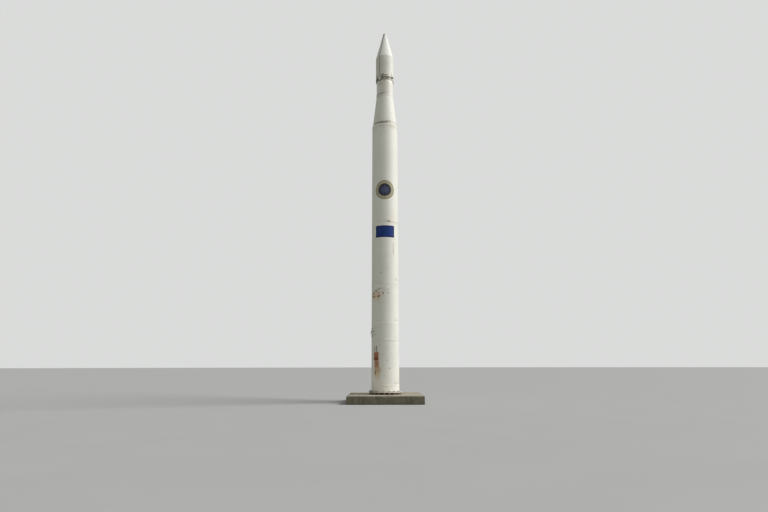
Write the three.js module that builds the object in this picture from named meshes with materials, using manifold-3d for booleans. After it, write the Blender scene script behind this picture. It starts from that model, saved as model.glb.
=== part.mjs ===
// A tall white rocket on display: a slender body of welded tube sections that stands bolted to a
// concrete slab, with a short cone, a neck and a two-leaf payload fairing that opens like a clamshell.
// Millimetres, +Z up, origin on the ground under the rocket's axis. The side that faces -Y is the front.
// An azimuth is in degrees from the front, positive towards +X, so azimuth 90 is the rocket's right.
import * as THREE from "three";
import { mergeVertices } from "three/addons/utils/BufferGeometryUtils.js";
import Module from "manifold-3d";

const wasm = await Module();
wasm.setup();

// Driving dimensions.
const SIDES = 48; // flat sides of every large round piece, the first edge at azimuth 0
const PIN_SIDES = 16; // and of a pin, its bore and its knuckle
const SEAT_GAP = 0.3; // between a fitted piece and what it lies on
const BODY_RADIUS = 610;
const WALL = 10; // the steel skin of the body, the cone and the neck
const RING_PROUD = 3; // how far a joint ring stands out of the skin

const SLAB = { side: 3200, height: 340 };
const BASE_PLATE = { radius: 725, bottom: 418, thick: 37 };
const BASE_TOP = BASE_PLATE.bottom + BASE_PLATE.thick;
const ANCHORS = { count: 18, circle: 670, firstAzimuth: -4, studRadius: 20, nutRadius: 38, nutHeight: 34 };
const ANCHOR_HOLE_RADIUS = 24;
const STUD_PROUD = 16; // above its upper nut
const TEMPLATE_RING = { outer: 722, inner: 622, thick: 12 };

// The body from the base plate up: each section starts where the one before it ends.
const BODY_SECTIONS = [
  // name, top, does it stand proud as a ring?
  ["base_collar", 685, false],
  ["foot_ring", 765, true],
  ["aft_skirt", 2600, false],
  ["joint_ring_1", 2710, true],
  ["motor_case_1", 3340, false],
  ["joint_ring_2", 3485, true],
  ["motor_case_2", 5015, false],
  ["joint_ring_3", 5240, true],
  ["motor_case_3", 6370, false],
  ["motor_case_4", 7970, false],
  ["joint_ring_4", 8090, true],
  ["forward_case", 12765, false],
];
const BODY_TOP = BODY_SECTIONS.at(-1)[1];

// The shoulder closes the body with a lip, and a dark recessed band under the cone.
const SHOULDER = { lip: 12925, top: 12945 };
const RECESSED_BAND = { radius: 566, innerRadius: 550, top: 13028 };
const CONE = { top: 14460, bottomRadius: 577, topRadius: 412, flange: 12 };
const NECK_RADIUS = 403;
const NECK_BORE = NECK_RADIUS - WALL;
// The rings and the neck that stand on the cone, as the body's sections do.
const NECK_SECTIONS = [
  // name, top, outer radius
  ["cone_ring", 14590, 414],
  ["neck_ring", 14720, 406],
  ["neck", 15340, NECK_RADIUS],
];
const NECK_TOP = NECK_SECTIONS.at(-1)[1];

const SEPARATION_RING = { radius: 440, bore: 388, top: 15450 };
const BAND_FITTING = { width: 80, depth: 30, height: 156, top: 15446 };
const DECK = { radius: 400, thick: 12 };
const ADAPTER = { bottomRadius: 340, topRadius: 300, height: 150, wall: 10 };

const FAIRING = { radius: 440, wall: 15, bottom: 15456, barrelTop: 16620, splitAzimuth: -37, splitGap: 12 };
const NOSE = { bottom: 17930, radius: 106, top: 18090, leafGap: 16, arcSteps: 5 };

// The fairing's hinges, half-way round each leaf from the split.
const HINGE = { radius: 485, height: 15450, pinRadius: 9, boreRadius: 9.5, knuckleRadius: 18 };
const HINGE_ARM = { width: 40, thick: 16, foot: 15464, top: 15700 };
const HINGE_EAR = { thick: 14, sideGap: 5, root: 428, foot: 15380 };
const PIN_HEAD = { radius: 15, thick: 8 };

// Pieces that lie on the body's skin.
const SIGN_THICK = 2.5;
const BADGE = { azimuth: -1.25, height: 9530, radius: 460, discRadius: 298 };
const PANEL = { azimuth: -0.5, width: 918, bottom: 7262, top: 7815 };
const DOUBLER = { azimuth: -42, width: 265, bottom: 1780, top: 2132, thick: 6 };
const LUG = { azimuth: -75, height: 2990, padWidth: 260, padHeight: 340, padThick: 10, bossRadius: 85, reach: 40 };

// Materials, from the photograph.
const paint = (color, roughness = 0.55) => new THREE.MeshStandardMaterial({ color, roughness, metalness: 0 });
const metal = (color, roughness) => new THREE.MeshStandardMaterial({ color, roughness, metalness: 0.6 });
const WHITE = paint(0xe6e4da);
const OFF_WHITE = paint(0xd8d5c8);
const DARK_STEEL = metal(0x4a4743, 0.75);
const BARE_STEEL = metal(0x6d665c, 0.7);
const RUST = paint(0x7a3b22, 0.9);
const CONCRETE = paint(0x8d8880, 0.95);
const BLUE = paint(0x1b2a63, 0.5);
const TAN = paint(0xa8966a);
const PRIMER = paint(0xc9c5b4, 0.7);

// Solids from geometries and back.
function solidOf(geometry) {
  const bare = new THREE.BufferGeometry().setAttribute("position", geometry.getAttribute("position"));
  if (geometry.index) bare.setIndex(geometry.index);
  const merged = mergeVertices(bare, 1e-4);
  const vertProperties = merged.attributes.position.array;
  const triVerts = new Uint32Array(merged.index.array);
  return new wasm.Manifold(new wasm.Mesh({ numProp: 3, vertProperties, triVerts }));
}

function geometryOf(solid) {
  const mesh = solid.getMesh();
  return new THREE.BufferGeometry()
    .setAttribute("position", new THREE.BufferAttribute(new Float32Array(mesh.vertProperties), 3))
    .setIndex(new THREE.BufferAttribute(new Uint32Array(mesh.triVerts), 1));
}

const joined = (solids) => solids.reduce((sum, next) => sum.add(next));
const range = (count) => Array.from({ length: count }, (_, i) => i);

// Shapes. Each is made about the Z axis or at the front, and turned to its azimuth afterwards.
const turnedTo = (geometry, azimuth) => geometry.rotateZ(THREE.MathUtils.degToRad(azimuth));

// A solid of revolution from [radius, height] corners, anticlockwise with the radius to the right.
function turned(corners) {
  const profile = [...corners, corners[0]].map(([radius, height]) => new THREE.Vector2(radius, height));
  return new THREE.LatheGeometry(profile, SIDES).rotateX(Math.PI / 2);
}

function tube(outer, inner, bottom, top) {
  return turned([
    [inner, bottom],
    [outer, bottom],
    [outer, top],
    [inner, top],
  ]);
}

function disc(radius, bottom, top, sides = SIDES) {
  return new THREE.CylinderGeometry(radius, radius, top - bottom, sides)
    .rotateX(Math.PI / 2)
    .translate(0, 0, (bottom + top) / 2);
}

// A box that is wide along the tangent, from one radius out to another.
function block(width, inner, outer, bottom, top) {
  return new THREE.BoxGeometry(width, outer - inner, top - bottom).translate(
    0,
    -(inner + outer) / 2,
    (bottom + top) / 2,
  );
}

// A round bar along the tangent, about the hinge's axis.
function hingeBar(radius, length) {
  return new THREE.CylinderGeometry(radius, radius, length, PIN_SIDES)
    .rotateZ(Math.PI / 2)
    .translate(0, -HINGE.radius, HINGE.height);
}

// A plate in the radial plane, from an outline of [radius, height] corners.
function radialPlate(outline, thick) {
  const shape = new THREE.Shape(outline.map(([radius, height]) => new THREE.Vector2(radius, height)));
  return new THREE.ExtrudeGeometry(shape, { depth: thick, bevelEnabled: false })
    .translate(0, 0, -thick / 2)
    .rotateX(Math.PI / 2)
    .rotateZ(-Math.PI / 2);
}

// The model, one named mesh for each piece.
const rocket = new THREE.Group();
function place(name, geometry, material) {
  const mesh = new THREE.Mesh(geometry, material);
  mesh.name = name;
  rocket.add(mesh);
}

// The foot: the slab, the base plate, and the anchor bolts that hold it, each with a levelling nut
// under the plate and a clamping nut on it. A template ring joins the bolts.
const anchorAzimuths = range(ANCHORS.count).map((i) => ANCHORS.firstAzimuth + (i * 360) / ANCHORS.count);
const atEachAnchor = (make) =>
  anchorAzimuths.map((azimuth) => solidOf(turnedTo(make().translate(0, -ANCHORS.circle, 0), azimuth)));

function anchorFrame() {
  const { studRadius, nutRadius, nutHeight } = ANCHORS;
  const underNut = BASE_PLATE.bottom - SEAT_GAP;
  const overNut = BASE_TOP + SEAT_GAP;
  const ringTop = SLAB.height + TEMPLATE_RING.thick;
  const bolt = geometryOf(
    joined([
      solidOf(disc(studRadius, ringTop - 2, overNut + nutHeight + STUD_PROUD, 8)),
      solidOf(disc(nutRadius, underNut - nutHeight, underNut, 6)),
      solidOf(disc(nutRadius, overNut, overNut + nutHeight, 6)),
    ]),
  );
  const ring = solidOf(tube(TEMPLATE_RING.outer, TEMPLATE_RING.inner, SLAB.height, ringTop));
  return geometryOf(joined([ring, ...atEachAnchor(() => bolt.clone())]));
}

function basePlate() {
  const { radius, bottom, thick } = BASE_PLATE;
  const plate = solidOf(disc(radius, bottom, BASE_TOP));
  const holes = atEachAnchor(() => disc(ANCHOR_HOLE_RADIUS, bottom - thick, BASE_TOP + thick, 12));
  return geometryOf(plate.subtract(joined(holes)));
}

const slabHalf = SLAB.side / 2;
place("ground_slab", block(SLAB.side, -slabHalf, slabHalf, 0, SLAB.height), CONCRETE);
place("anchor_frame", anchorFrame(), BARE_STEEL);
place("base_plate", basePlate(), OFF_WHITE);

// The body, as tube sections that stand on each other.
let sectionBottom = BASE_TOP;
for (const [name, top, isRing] of BODY_SECTIONS) {
  const outer = BODY_RADIUS + (isRing ? RING_PROUD : 0);
  place(name, tube(outer, BODY_RADIUS - WALL, sectionBottom, top), isRing ? OFF_WHITE : WHITE);
  sectionBottom = top;
}

// The shoulder with its recessed band, the cone with its inner flange, and the neck.
const shoulder = turned([
  [BODY_RADIUS - WALL, BODY_TOP],
  [BODY_RADIUS, BODY_TOP],
  [BODY_RADIUS, SHOULDER.lip],
  [RECESSED_BAND.radius, SHOULDER.top],
  [RECESSED_BAND.innerRadius, SHOULDER.top],
  [RECESSED_BAND.innerRadius, SHOULDER.top - WALL],
  [BODY_RADIUS - WALL, SHOULDER.lip - WALL],
]);
const recessedBand = tube(RECESSED_BAND.radius, RECESSED_BAND.innerRadius, SHOULDER.top, RECESSED_BAND.top);
place("shoulder_ring", shoulder, WHITE);
place("recessed_band", recessedBand, DARK_STEEL);

const cone = turned([
  [RECESSED_BAND.innerRadius, RECESSED_BAND.top],
  [CONE.bottomRadius, RECESSED_BAND.top],
  [CONE.topRadius, CONE.top],
  [CONE.topRadius - WALL, CONE.top],
  [CONE.bottomRadius - WALL, RECESSED_BAND.top + CONE.flange],
  [RECESSED_BAND.innerRadius, RECESSED_BAND.top + CONE.flange],
]);
place("forward_cone", cone, WHITE);

sectionBottom = CONE.top;
for (const [name, top, outer] of NECK_SECTIONS) {
  place(name, tube(outer, NECK_BORE, sectionBottom, top), name === "neck" ? WHITE : OFF_WHITE);
  sectionBottom = top;
}

// The two leaves of the fairing, each named for the side that it opens to.
const LEAVES = [
  // name, azimuth of the leaf's middle and of its hinge
  ["right", FAIRING.splitAzimuth + 90],
  ["left", FAIRING.splitAzimuth - 90],
];

// The separation ring carries a pair of ears for each hinge.
function hingeEars(azimuth) {
  const { root, foot, thick, sideGap } = HINGE_EAR;
  const { radius, height, boreRadius } = HINGE;
  const outline = [
    [root, foot],
    [radius + 15, height - 35],
    [radius + 25, height - 10],
    [radius + 25, height + 12],
    [radius + 15, height + 24],
    [radius - 13, height + 24],
    [radius - 33, height - 4],
    [root, height - 4],
  ];
  const shift = HINGE_ARM.width / 2 + sideGap + thick / 2;
  const ears = [-shift, shift].map((x) => solidOf(radialPlate(outline, thick).translate(x, 0, 0)));
  const bored = joined(ears).subtract(solidOf(hingeBar(boreRadius, 4 * shift)));
  return solidOf(turnedTo(geometryOf(bored), azimuth));
}

const plainRing = solidOf(tube(SEPARATION_RING.radius, SEPARATION_RING.bore, NECK_TOP, SEPARATION_RING.top));
const ringWithEars = joined([plainRing, ...LEAVES.map(([, azimuth]) => hingeEars(azimuth))]);
place("separation_ring", geometryOf(ringWithEars), DARK_STEEL);

// A tensioner of the separation band under each end of the fairing's split.
for (const [name, turn] of [
  ["band_fitting_front", 0],
  ["band_fitting_rear", 180],
]) {
  const { width, depth, height, top } = BAND_FITTING;
  const inner = SEPARATION_RING.radius + SEAT_GAP;
  const fitting = block(width, inner, inner + depth, top - height, top);
  place(name, turnedTo(fitting, FAIRING.splitAzimuth + turn), BARE_STEEL);
}

// Inside the fairing: a deck on the ring, and the cup that a payload stands on.
const deckTop = SEPARATION_RING.top + DECK.thick;
const adapterTop = deckTop + ADAPTER.height;
place("payload_deck", disc(DECK.radius, SEPARATION_RING.top, deckTop), PRIMER);
const adapter = turned([
  [0, adapterTop - ADAPTER.wall],
  [ADAPTER.topRadius - ADAPTER.wall, adapterTop - ADAPTER.wall],
  [ADAPTER.bottomRadius - ADAPTER.wall, deckTop],
  [ADAPTER.bottomRadius, deckTop],
  [ADAPTER.topRadius, adapterTop],
  [0, adapterTop],
]);
place("payload_adapter", adapter, PRIMER);

// The fairing's outer line above its barrel.
const noseSlope = (FAIRING.radius - NOSE.radius) / (NOSE.bottom - FAIRING.barrelTop);
const noseLean = Math.atan(noseSlope);
const noseRadiusAt = (height) => FAIRING.radius - noseSlope * (height - FAIRING.barrelTop);

// The part of a whole shell that belongs to the leaf whose middle is at this azimuth.
function leafOf(shell, azimuth) {
  const reach = 2 * FAIRING.radius;
  const side = block(2 * reach, FAIRING.splitGap / 2, reach, FAIRING.bottom - reach, NOSE.top + reach);
  return geometryOf(solidOf(shell).intersect(solidOf(turnedTo(side, azimuth))));
}

function fairingBarrel(azimuth) {
  const { radius, wall, bottom, barrelTop } = FAIRING;
  return leafOf(tube(radius, radius - wall, bottom, barrelTop), azimuth);
}

function fairingCone(azimuth, top) {
  const { radius, wall, barrelTop } = FAIRING;
  const levelWall = wall / Math.cos(noseLean);
  const shell = turned([
    [radius - levelWall, barrelTop],
    [radius, barrelTop],
    [noseRadiusAt(top), top],
    [noseRadiusAt(top) - levelWall, top],
  ]);
  return leafOf(shell, azimuth);
}

// The cone's end, rounded over by an arc that its side runs into.
function noseCap() {
  const { bottom, top, arcSteps } = NOSE;
  const tipRadius = noseRadiusAt(top) / (Math.cos(noseLean) - noseSlope * (1 - Math.sin(noseLean)));
  const arc = range(arcSteps).map((i) => {
    const angle = noseLean + ((Math.PI / 2 - noseLean) * i) / arcSteps;
    return [tipRadius * Math.cos(angle), top - tipRadius * (1 - Math.sin(angle))];
  });
  return turned([[0, bottom], [noseRadiusAt(bottom), bottom], ...arc, [0, top]]);
}

// A strap up the outside of the barrel, with a knuckle round the hinge's pin.
function hingeArm(azimuth) {
  const { radius, height, boreRadius, knuckleRadius } = HINGE;
  const { width, thick, foot, top } = HINGE_ARM;
  const skin = FAIRING.radius + SEAT_GAP;
  const outline = [
    [skin, foot],
    [radius - 10, height - 13],
    [radius + 15, height - 6],
    [radius + knuckleRadius, height + 2],
    [radius + 15, height + 25],
    [skin + thick, foot + 96],
    [skin + thick, top - 20],
    [skin + thick / 2, top],
    [skin, top],
  ];
  const strap = solidOf(radialPlate(outline, width)).add(solidOf(hingeBar(knuckleRadius, width)));
  return turnedTo(geometryOf(strap.subtract(solidOf(hingeBar(boreRadius, 2 * width)))), azimuth);
}

function hingePin(azimuth) {
  const length = HINGE_ARM.width + 2 * (HINGE_EAR.sideGap + HINGE_EAR.thick);
  const headShift = length / 2 + SEAT_GAP + PIN_HEAD.thick / 2;
  const shank = solidOf(hingeBar(HINGE.pinRadius, length + PIN_HEAD.thick));
  const heads = [-headShift, headShift].map((x) =>
    solidOf(hingeBar(PIN_HEAD.radius, PIN_HEAD.thick).translate(x, 0, 0)),
  );
  return turnedTo(geometryOf(joined([shank, ...heads])), azimuth);
}

// The nose cap stays with the right leaf, so the left leaf's cone ends a little below it.
for (const [side, azimuth] of LEAVES) {
  const coneTop = side === "right" ? NOSE.bottom : NOSE.bottom - NOSE.leafGap;
  place(`fairing_barrel_${side}`, fairingBarrel(azimuth), WHITE);
  place(`fairing_cone_${side}`, fairingCone(azimuth, coneTop), WHITE);
  place(`hinge_arm_${side}`, hingeArm(azimuth), WHITE);
  place(`hinge_pin_${side}`, hingePin(azimuth), BARE_STEEL);
}
place("nose_cap", noseCap(), WHITE);

// Thin pieces on the body's skin. Each is cut from a shell round the body by a prism through the front.
// Its outline, and that of a hole in it, are unrolled: [distance round the skin from its azimuth, height].
function onSkin(thick, outline, azimuth = 0, hole = []) {
  const inner = BODY_RADIUS + SEAT_GAP;
  const turn = THREE.MathUtils.degToRad(azimuth);
  const inPlane = ([round, height]) => new THREE.Vector2(inner * Math.sin(round / inner + turn), height);
  const shape = new THREE.Shape(outline.map(inPlane));
  if (hole.length > 0) shape.holes.push(new THREE.Path(hole.map(inPlane)));
  const prism = new THREE.ExtrudeGeometry(shape, { depth: 2 * inner, bevelEnabled: false }).rotateX(Math.PI / 2);
  const heights = outline.map(([, height]) => height);
  const shell = tube(inner + thick, inner, Math.min(...heights) - thick, Math.max(...heights) + thick);
  return solidOf(shell).intersect(solidOf(prism));
}

const rectangle = (width, bottom, top) => [
  [-width / 2, bottom],
  [width / 2, bottom],
  [width / 2, top],
  [-width / 2, top],
];

const circle = (radius, height) =>
  range(SIDES).map((i) => {
    const angle = (2 * Math.PI * i) / SIDES;
    return [radius * Math.cos(angle), height + radius * Math.sin(angle)];
  });

const badgeHole = circle(BADGE.discRadius + 2 * SEAT_GAP, BADGE.height);
const badge = onSkin(SIGN_THICK, circle(BADGE.radius, BADGE.height), BADGE.azimuth, badgeHole);
const badgeDisc = onSkin(SIGN_THICK, circle(BADGE.discRadius, BADGE.height), BADGE.azimuth);
place("badge_ring", geometryOf(badge), TAN);
place("badge_disc", geometryOf(badgeDisc), BLUE);

const panel = onSkin(SIGN_THICK, rectangle(PANEL.width, PANEL.bottom, PANEL.top), PANEL.azimuth);
place("blue_panel", geometryOf(panel), BLUE);

const doubler = onSkin(DOUBLER.thick, rectangle(DOUBLER.width, DOUBLER.bottom, DOUBLER.top), DOUBLER.azimuth);
place("doubler_plate", geometryOf(doubler), RUST);

// The handling lug: a pad on the skin and a round boss, turned to an edge between two flat sides.
function handlingLug() {
  const { height, padWidth, padHeight, padThick, bossRadius, reach } = LUG;
  const pad = onSkin(padThick, rectangle(padWidth, height - padHeight / 2, height + padHeight / 2));
  const boss = new THREE.CylinderGeometry(bossRadius, bossRadius, reach - padThick / 2, PIN_SIDES).translate(
    0,
    -(BODY_RADIUS + (reach + padThick / 2) / 2),
    height,
  );
  return turnedTo(geometryOf(pad.add(solidOf(boss))), LUG.azimuth);
}
place("handling_lug", handlingLug(), OFF_WHITE);

export default rocket;
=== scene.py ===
"""The looks of a tall white rocket that stands bolted to a concrete slab.

Metres, +Z up, the front faces -Y. An azimuth is in degrees from the front, positive towards +X.
A shape is a pair of lists: its points, and its faces as tuples of point numbers.
"""

import math

import bmesh
import bpy
from mathutils import Matrix, Vector, noise


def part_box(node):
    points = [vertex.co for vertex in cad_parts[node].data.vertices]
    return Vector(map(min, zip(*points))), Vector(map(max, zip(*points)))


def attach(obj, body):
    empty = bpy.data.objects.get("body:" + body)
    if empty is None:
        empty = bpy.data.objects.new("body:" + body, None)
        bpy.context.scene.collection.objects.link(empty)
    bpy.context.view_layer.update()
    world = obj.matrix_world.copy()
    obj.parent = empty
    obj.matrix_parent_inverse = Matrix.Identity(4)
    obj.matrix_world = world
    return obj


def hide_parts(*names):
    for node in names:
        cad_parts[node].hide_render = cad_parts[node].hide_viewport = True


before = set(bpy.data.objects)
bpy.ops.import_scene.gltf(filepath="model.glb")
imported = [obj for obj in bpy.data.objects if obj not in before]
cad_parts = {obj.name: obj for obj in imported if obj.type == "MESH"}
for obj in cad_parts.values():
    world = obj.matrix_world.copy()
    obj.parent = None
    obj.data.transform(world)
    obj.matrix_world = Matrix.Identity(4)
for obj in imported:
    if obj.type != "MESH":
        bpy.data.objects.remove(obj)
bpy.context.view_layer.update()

# The view: a 24 mm lens at eye height, tilted up so that the nose tip is in the picture.
LENS = 24
SENSOR = 36
CAMERA_PLACE = Vector((-0.052, -23.15, 1.534))
CAMERA_TILT = math.atan(0.215)
CAMERA_ROLL = math.radians(-0.08)

SKY = (0.70, 0.71, 0.70, 1)
SKY_LIGHT = 0.375
# Each lamp's azimuth, elevation, strength and spread.
LAMPS = {
    "sun": (84.5, 38, 3.2, 40),
    "fill": (-35, 20, 0.08, 60),
}
FLOOR_COLOUR = (0.46, 0.46, 0.45)
FLOOR_RADIUS = 600

# Sizes that the frame doesn't hold.
STEPS = 192  # flat sides of a large round piece
SMALL_STEPS = 96  # and of a sign or the tip
WALL = 0.010  # the skin of the body and the cone
EDGE = 0.001  # turned off the ends of a body section, so that two make a groove
ROW = 0.12  # between the rows of points up a body section
DENT = 0.0015  # how far the skin is pushed in between its welds, at most
DENT_GRAIN = 1.7  # the noise that says where
BARREL_RADIUS = 0.440  # of the fairing, and of the band round its foot
LEAF_WALL = 0.015
HINGE_RADIUS = 0.485  # from the axis to the hinges' pins
SPLIT_AZIMUTH = -37
SPLIT_HALF_GAP = 0.006
SKIN_GAP = 0.0003  # between a skin and what is fixed on it
HEAD_SUNK = 0.0005  # how far a small head goes into its wall
WELD_HALF = 0.007
WELD_CROWN = 0.0016
WELD_ROW = 0.02
WELD_FOOT = -0.002  # a weld starts this far inside the skin

# Linear colours of the paints, of what stains them, and of the painted light and shade laid on them.
BODY_WHITE = (0.80, 0.79, 0.705)
RING_WHITE = (0.80, 0.78, 0.71)
LEAF_WHITE = (0.80, 0.79, 0.71)
# The fairing's one white: darker on the barrel as painted shade, lighter on the cone as painted light.
BARREL_WHITE_PAINTED_SHADE = (0.745, 0.735, 0.650)
LEAF_CONE_WHITE_PAINTED_LIGHT = (0.84, 0.835, 0.77)
DIRT = (0.30, 0.27, 0.20)
DUST = (0.62, 0.58, 0.48)
# A greenish grey: algae, and painted shade of the side away from the sun.
ALGAE_AND_SHADE_TINT = (0.70, 0.77, 0.58)
RUST = (0.24, 0.085, 0.028)
RUST_RUN = (0.60, 0.34, 0.16)
TAN = (0.66, 0.50, 0.31)
BROWN = (0.26, 0.19, 0.11)
SOOT = (0.075, 0.07, 0.06)
PRIMER = (0.54, 0.53, 0.43)
PALE_PRIMER = (0.62, 0.60, 0.50)


def placed(name, data):
    made = bpy.data.objects.new(name, data)
    bpy.context.collection.objects.link(made)
    return made


def camera():
    data = bpy.data.cameras.new("camera")
    data.lens = LENS
    data.sensor_width = SENSOR
    data.clip_end = 2 * FLOOR_RADIUS
    tilt = Matrix.Rotation(math.pi / 2 + CAMERA_TILT, 4, "X")
    roll = Matrix.Rotation(CAMERA_ROLL, 4, "Z")
    holder = placed("camera", data)
    holder.matrix_world = Matrix.Translation(CAMERA_PLACE) @ tilt @ roll
    bpy.context.scene.camera = holder


def sky():
    world = bpy.data.worlds.new("sky")
    world.use_nodes = True
    tree = world.node_tree
    background = tree.nodes["Background"]
    background.inputs["Color"].default_value = SKY
    light_path = tree.nodes.new("ShaderNodeLightPath")
    strength = tree.nodes.new("ShaderNodeMapRange")
    strength.inputs["To Min"].default_value = SKY_LIGHT
    strength.inputs["To Max"].default_value = 1
    tree.links.new(light_path.outputs["Is Camera Ray"], strength.inputs["Value"])
    tree.links.new(strength.outputs[0], background.inputs["Strength"])
    bpy.context.scene.world = world


def lamps():
    for name, (azimuth, elevation, strength, spread) in LAMPS.items():
        data = bpy.data.lights.new(name, "SUN")
        data.energy = strength
        data.angle = math.radians(spread)
        holder = placed(name, data)
        rise = math.radians(elevation)
        towards = Vector(at(azimuth, math.cos(rise), math.sin(rise)))
        holder.rotation_mode = "QUATERNION"
        holder.rotation_quaternion = towards.to_track_quat("Z", "Y")


# Shapes.


def at(azimuth, radius, height):
    angle = math.radians(azimuth)
    return (radius * math.sin(angle), -radius * math.cos(angle), height)


def spaced(first, last, step):
    """Numbers from first to last, evenly spaced and about a step apart."""
    count = max(1, round(abs(last - first) / step))
    return [first + (last - first) * i / count for i in range(count + 1)]


def grid(rows, close_rows=False, close_columns=False):
    """A sheet through rows of points. With rows that go up and azimuths that grow, it faces outwards."""
    width = len(rows[0])
    faces = []
    for row in range(len(rows) if close_rows else len(rows) - 1):
        above = (row + 1) % len(rows)
        for column in range(width if close_columns else width - 1):
            beside = (column + 1) % width
            corners = ((row, column), (row, beside), (above, beside), (above, column))
            faces.append(tuple(width * i + j for i, j in corners))
    return [point for row in rows for point in row], faces


def bar(loops):
    """A closed bar through loops of points, each anticlockwise as seen from the bar's far end."""
    points, faces = grid(loops, close_columns=True)
    width = len(loops[0])
    faces.append(tuple(reversed(range(width))))
    faces.append(tuple(range(len(points) - width, len(points))))
    return points, faces


def closed_grid(rows):
    """A sheet that closes both ways, as a ring's surface does."""
    return grid(rows, close_rows=True, close_columns=True)


def circles(outline, sides):
    """A loop of points about Z for each (radius, height) pair."""
    return [[at(360 * i / sides, radius, height) for i in range(sides)] for radius, height in outline]


def peg(outline, sides=16):
    """A round bar along Z, through (radius, height) pairs that go up."""
    return bar(circles(outline, sides))


def lathe(outline, sides=STEPS):
    """A ring about Z, from a closed outline of (radius, height) points, anticlockwise with Z up."""
    return closed_grid(circles(outline, sides))


def part_lathe(outline, first, last, trim=0.0):
    """A lathe's part between two azimuths, its ends cut straight, a distance inside them."""
    steps = max(2, round((last - first) * STEPS / 360))
    rows = []
    for radius, height in outline:
        inset = math.degrees(math.asin(trim / radius))
        azimuths = [first + inset + (last - first - 2 * inset) * i / steps for i in range(steps + 1)]
        rows.append([at(azimuth, radius, height) for azimuth in azimuths])
    points, faces = grid(rows, close_rows=True)
    width = steps + 1
    faces.append(tuple(width * row for row in range(len(rows))))
    faces.append(tuple(width * row + steps for row in reversed(range(len(rows)))))
    return points, faces


def together(*shapes):
    points = []
    faces = []
    for more_points, more_faces in shapes:
        start = len(points)
        points += more_points
        faces += [tuple(start + corner for corner in face) for face in more_faces]
    return points, faces


ALONG_X = Matrix.Rotation(math.pi / 2, 4, "Y")  # turns a round bar from Z to X


def moved(shape, matrix):
    points, faces = shape
    return [(matrix @ Vector(point)).to_tuple() for point in points], faces


def shifted(shape, x, y, z):
    return moved(shape, Matrix.Translation((x, y, z)))


def raised(shape, height):
    return shifted(shape, 0, 0, height)


def around(shape, azimuth):
    return moved(shape, Matrix.Rotation(math.radians(azimuth), 4, "Z"))


def ringed(shape, count, first=0):
    """A shape that is repeated round Z."""
    return together(*[around(shape, first + 360 * i / count) for i in range(count)])


def on_wall(shape, azimuth, radius, height):
    """Stands a shape on a round wall: its X points along the wall, its Y up it and its Z out of it."""
    along = Vector(at(azimuth + 90, 1, 0))
    out = Vector(at(azimuth, 1, 0))
    matrix = Matrix((along, Vector((0, 0, 1)), out)).transposed().to_4x4()
    matrix.translation = Vector(at(azimuth, radius, height))
    return moved(shape, matrix)


def on_wall_round(shape, count, radius, height, first=0):
    """A shape that is repeated round a wall."""
    return together(*[on_wall(shape, first + 360 * i / count, radius, height) for i in range(count)])


def wrapped(shape, azimuth, radius, height):
    """Lays a flat shape on a round wall: its X goes round the wall, its Y up it and its Z out of it."""
    points, faces = shape
    bent = [at(azimuth + math.degrees(x / radius), radius + z, height + y) for x, y, z in points]
    return bent, faces


def rounded(corners, steps=3):
    """A closed outline from (x, y, rounding) corners."""
    outline = []
    for i, (x, y, rounding) in enumerate(corners):
        corner = Vector((x, y))
        if rounding == 0:
            outline.append((x, y))
            continue
        back = (Vector(corners[i - 1][:2]) - corner).normalized()
        on = (Vector(corners[(i + 1) % len(corners)][:2]) - corner).normalized()
        half = back.angle(on) / 2
        centre = corner + (back + on).normalized() * (rounding / math.sin(half))
        first = corner + back * (rounding / math.tan(half)) - centre
        last = corner + on * (rounding / math.tan(half)) - centre
        turns = [first.slerp(last, k / steps) for k in range(steps + 1)]
        outline += [(centre + rounding * turn).to_tuple() for turn in turns]
    return outline


def hoop(inner, outer, low, high, roundings=(0, 0, 0, 0)):
    """A square ring's outline. The roundings are of its corners, from the lower inner one on."""
    corners = [(inner, low), (outer, low), (outer, high), (inner, high)]
    return rounded([(*corner, rounding) for corner, rounding in zip(corners, roundings)])


def plate(width, tall, thick, corner, edge, step=0.03):
    """A flat plate about the origin, on Z = 0, with round corners, in strips that can be bent along X."""
    loops = []
    for x in [-width / 2, *spaced(-width / 2 + corner, width / 2 - corner, step), width / 2]:
        into = max(0.0, abs(x) - (width / 2 - corner))
        half = tall / 2 - corner + math.sqrt(max(corner**2 - into**2, (0.2 * corner) ** 2))
        loops.append([
            (x, half - edge, thick),
            (x, -half + edge, thick),
            (x, -half, thick - edge),
            (x, -half, 0),
            (x, half, 0),
            (x, half, thick - edge),
        ])
    return bar(loops)


def block(width, depth, low, high, corner, edge):
    """A block about Z with round upright corners and softened ends."""

    def loop(inset, height):
        x = width / 2 - inset
        y = depth / 2 - inset
        outline = rounded([(-x, -y, corner), (x, -y, corner), (x, y, corner), (-x, y, corner)])
        return [(px, py, height) for px, py in outline]

    return bar([loop(edge, low), loop(0, low + edge), loop(0, high - edge), loop(edge, high)])


def flat_ring(inner, outer, low, high, edge, step=0.03):
    """A flat ring about Z, in rings of points that can be bent."""
    under = [(radius, low) for radius in spaced(inner, outer, step)]
    over = [(radius, high) for radius in spaced(outer - edge, inner + edge, step)]
    return lathe([*under, (outer, high - edge), *over, (inner, high - edge)], SMALL_STEPS)


def disc(radius, low, high, edge, step=0.03):
    """A flat disc about Z, in rings of points that can be bent."""
    under = [(r, low) for r in spaced(step / 2, radius, step)]
    over = [(r, high) for r in spaced(radius - edge, step / 2, step)]
    return peg([*under, (radius, high - edge), *over], SMALL_STEPS)


HEX_SAMPLES = 24
TURNED_OFF = 0.53  # a nut's end, as a part of its width across the flats


def hexagon(across, levels):
    """Loops of a hexagon, one for each (radius, height) pair and cut back to that radius."""
    loops = []
    for limit, height in levels:
        loop = []
        for i in range(HEX_SAMPLES):
            azimuth = 360 * i / HEX_SAMPLES
            side = across / 2 / math.cos(math.radians((azimuth + 30) % 60 - 30))
            loop.append(at(azimuth, min(limit, side), height))
        loops.append(loop)
    return loops


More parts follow.
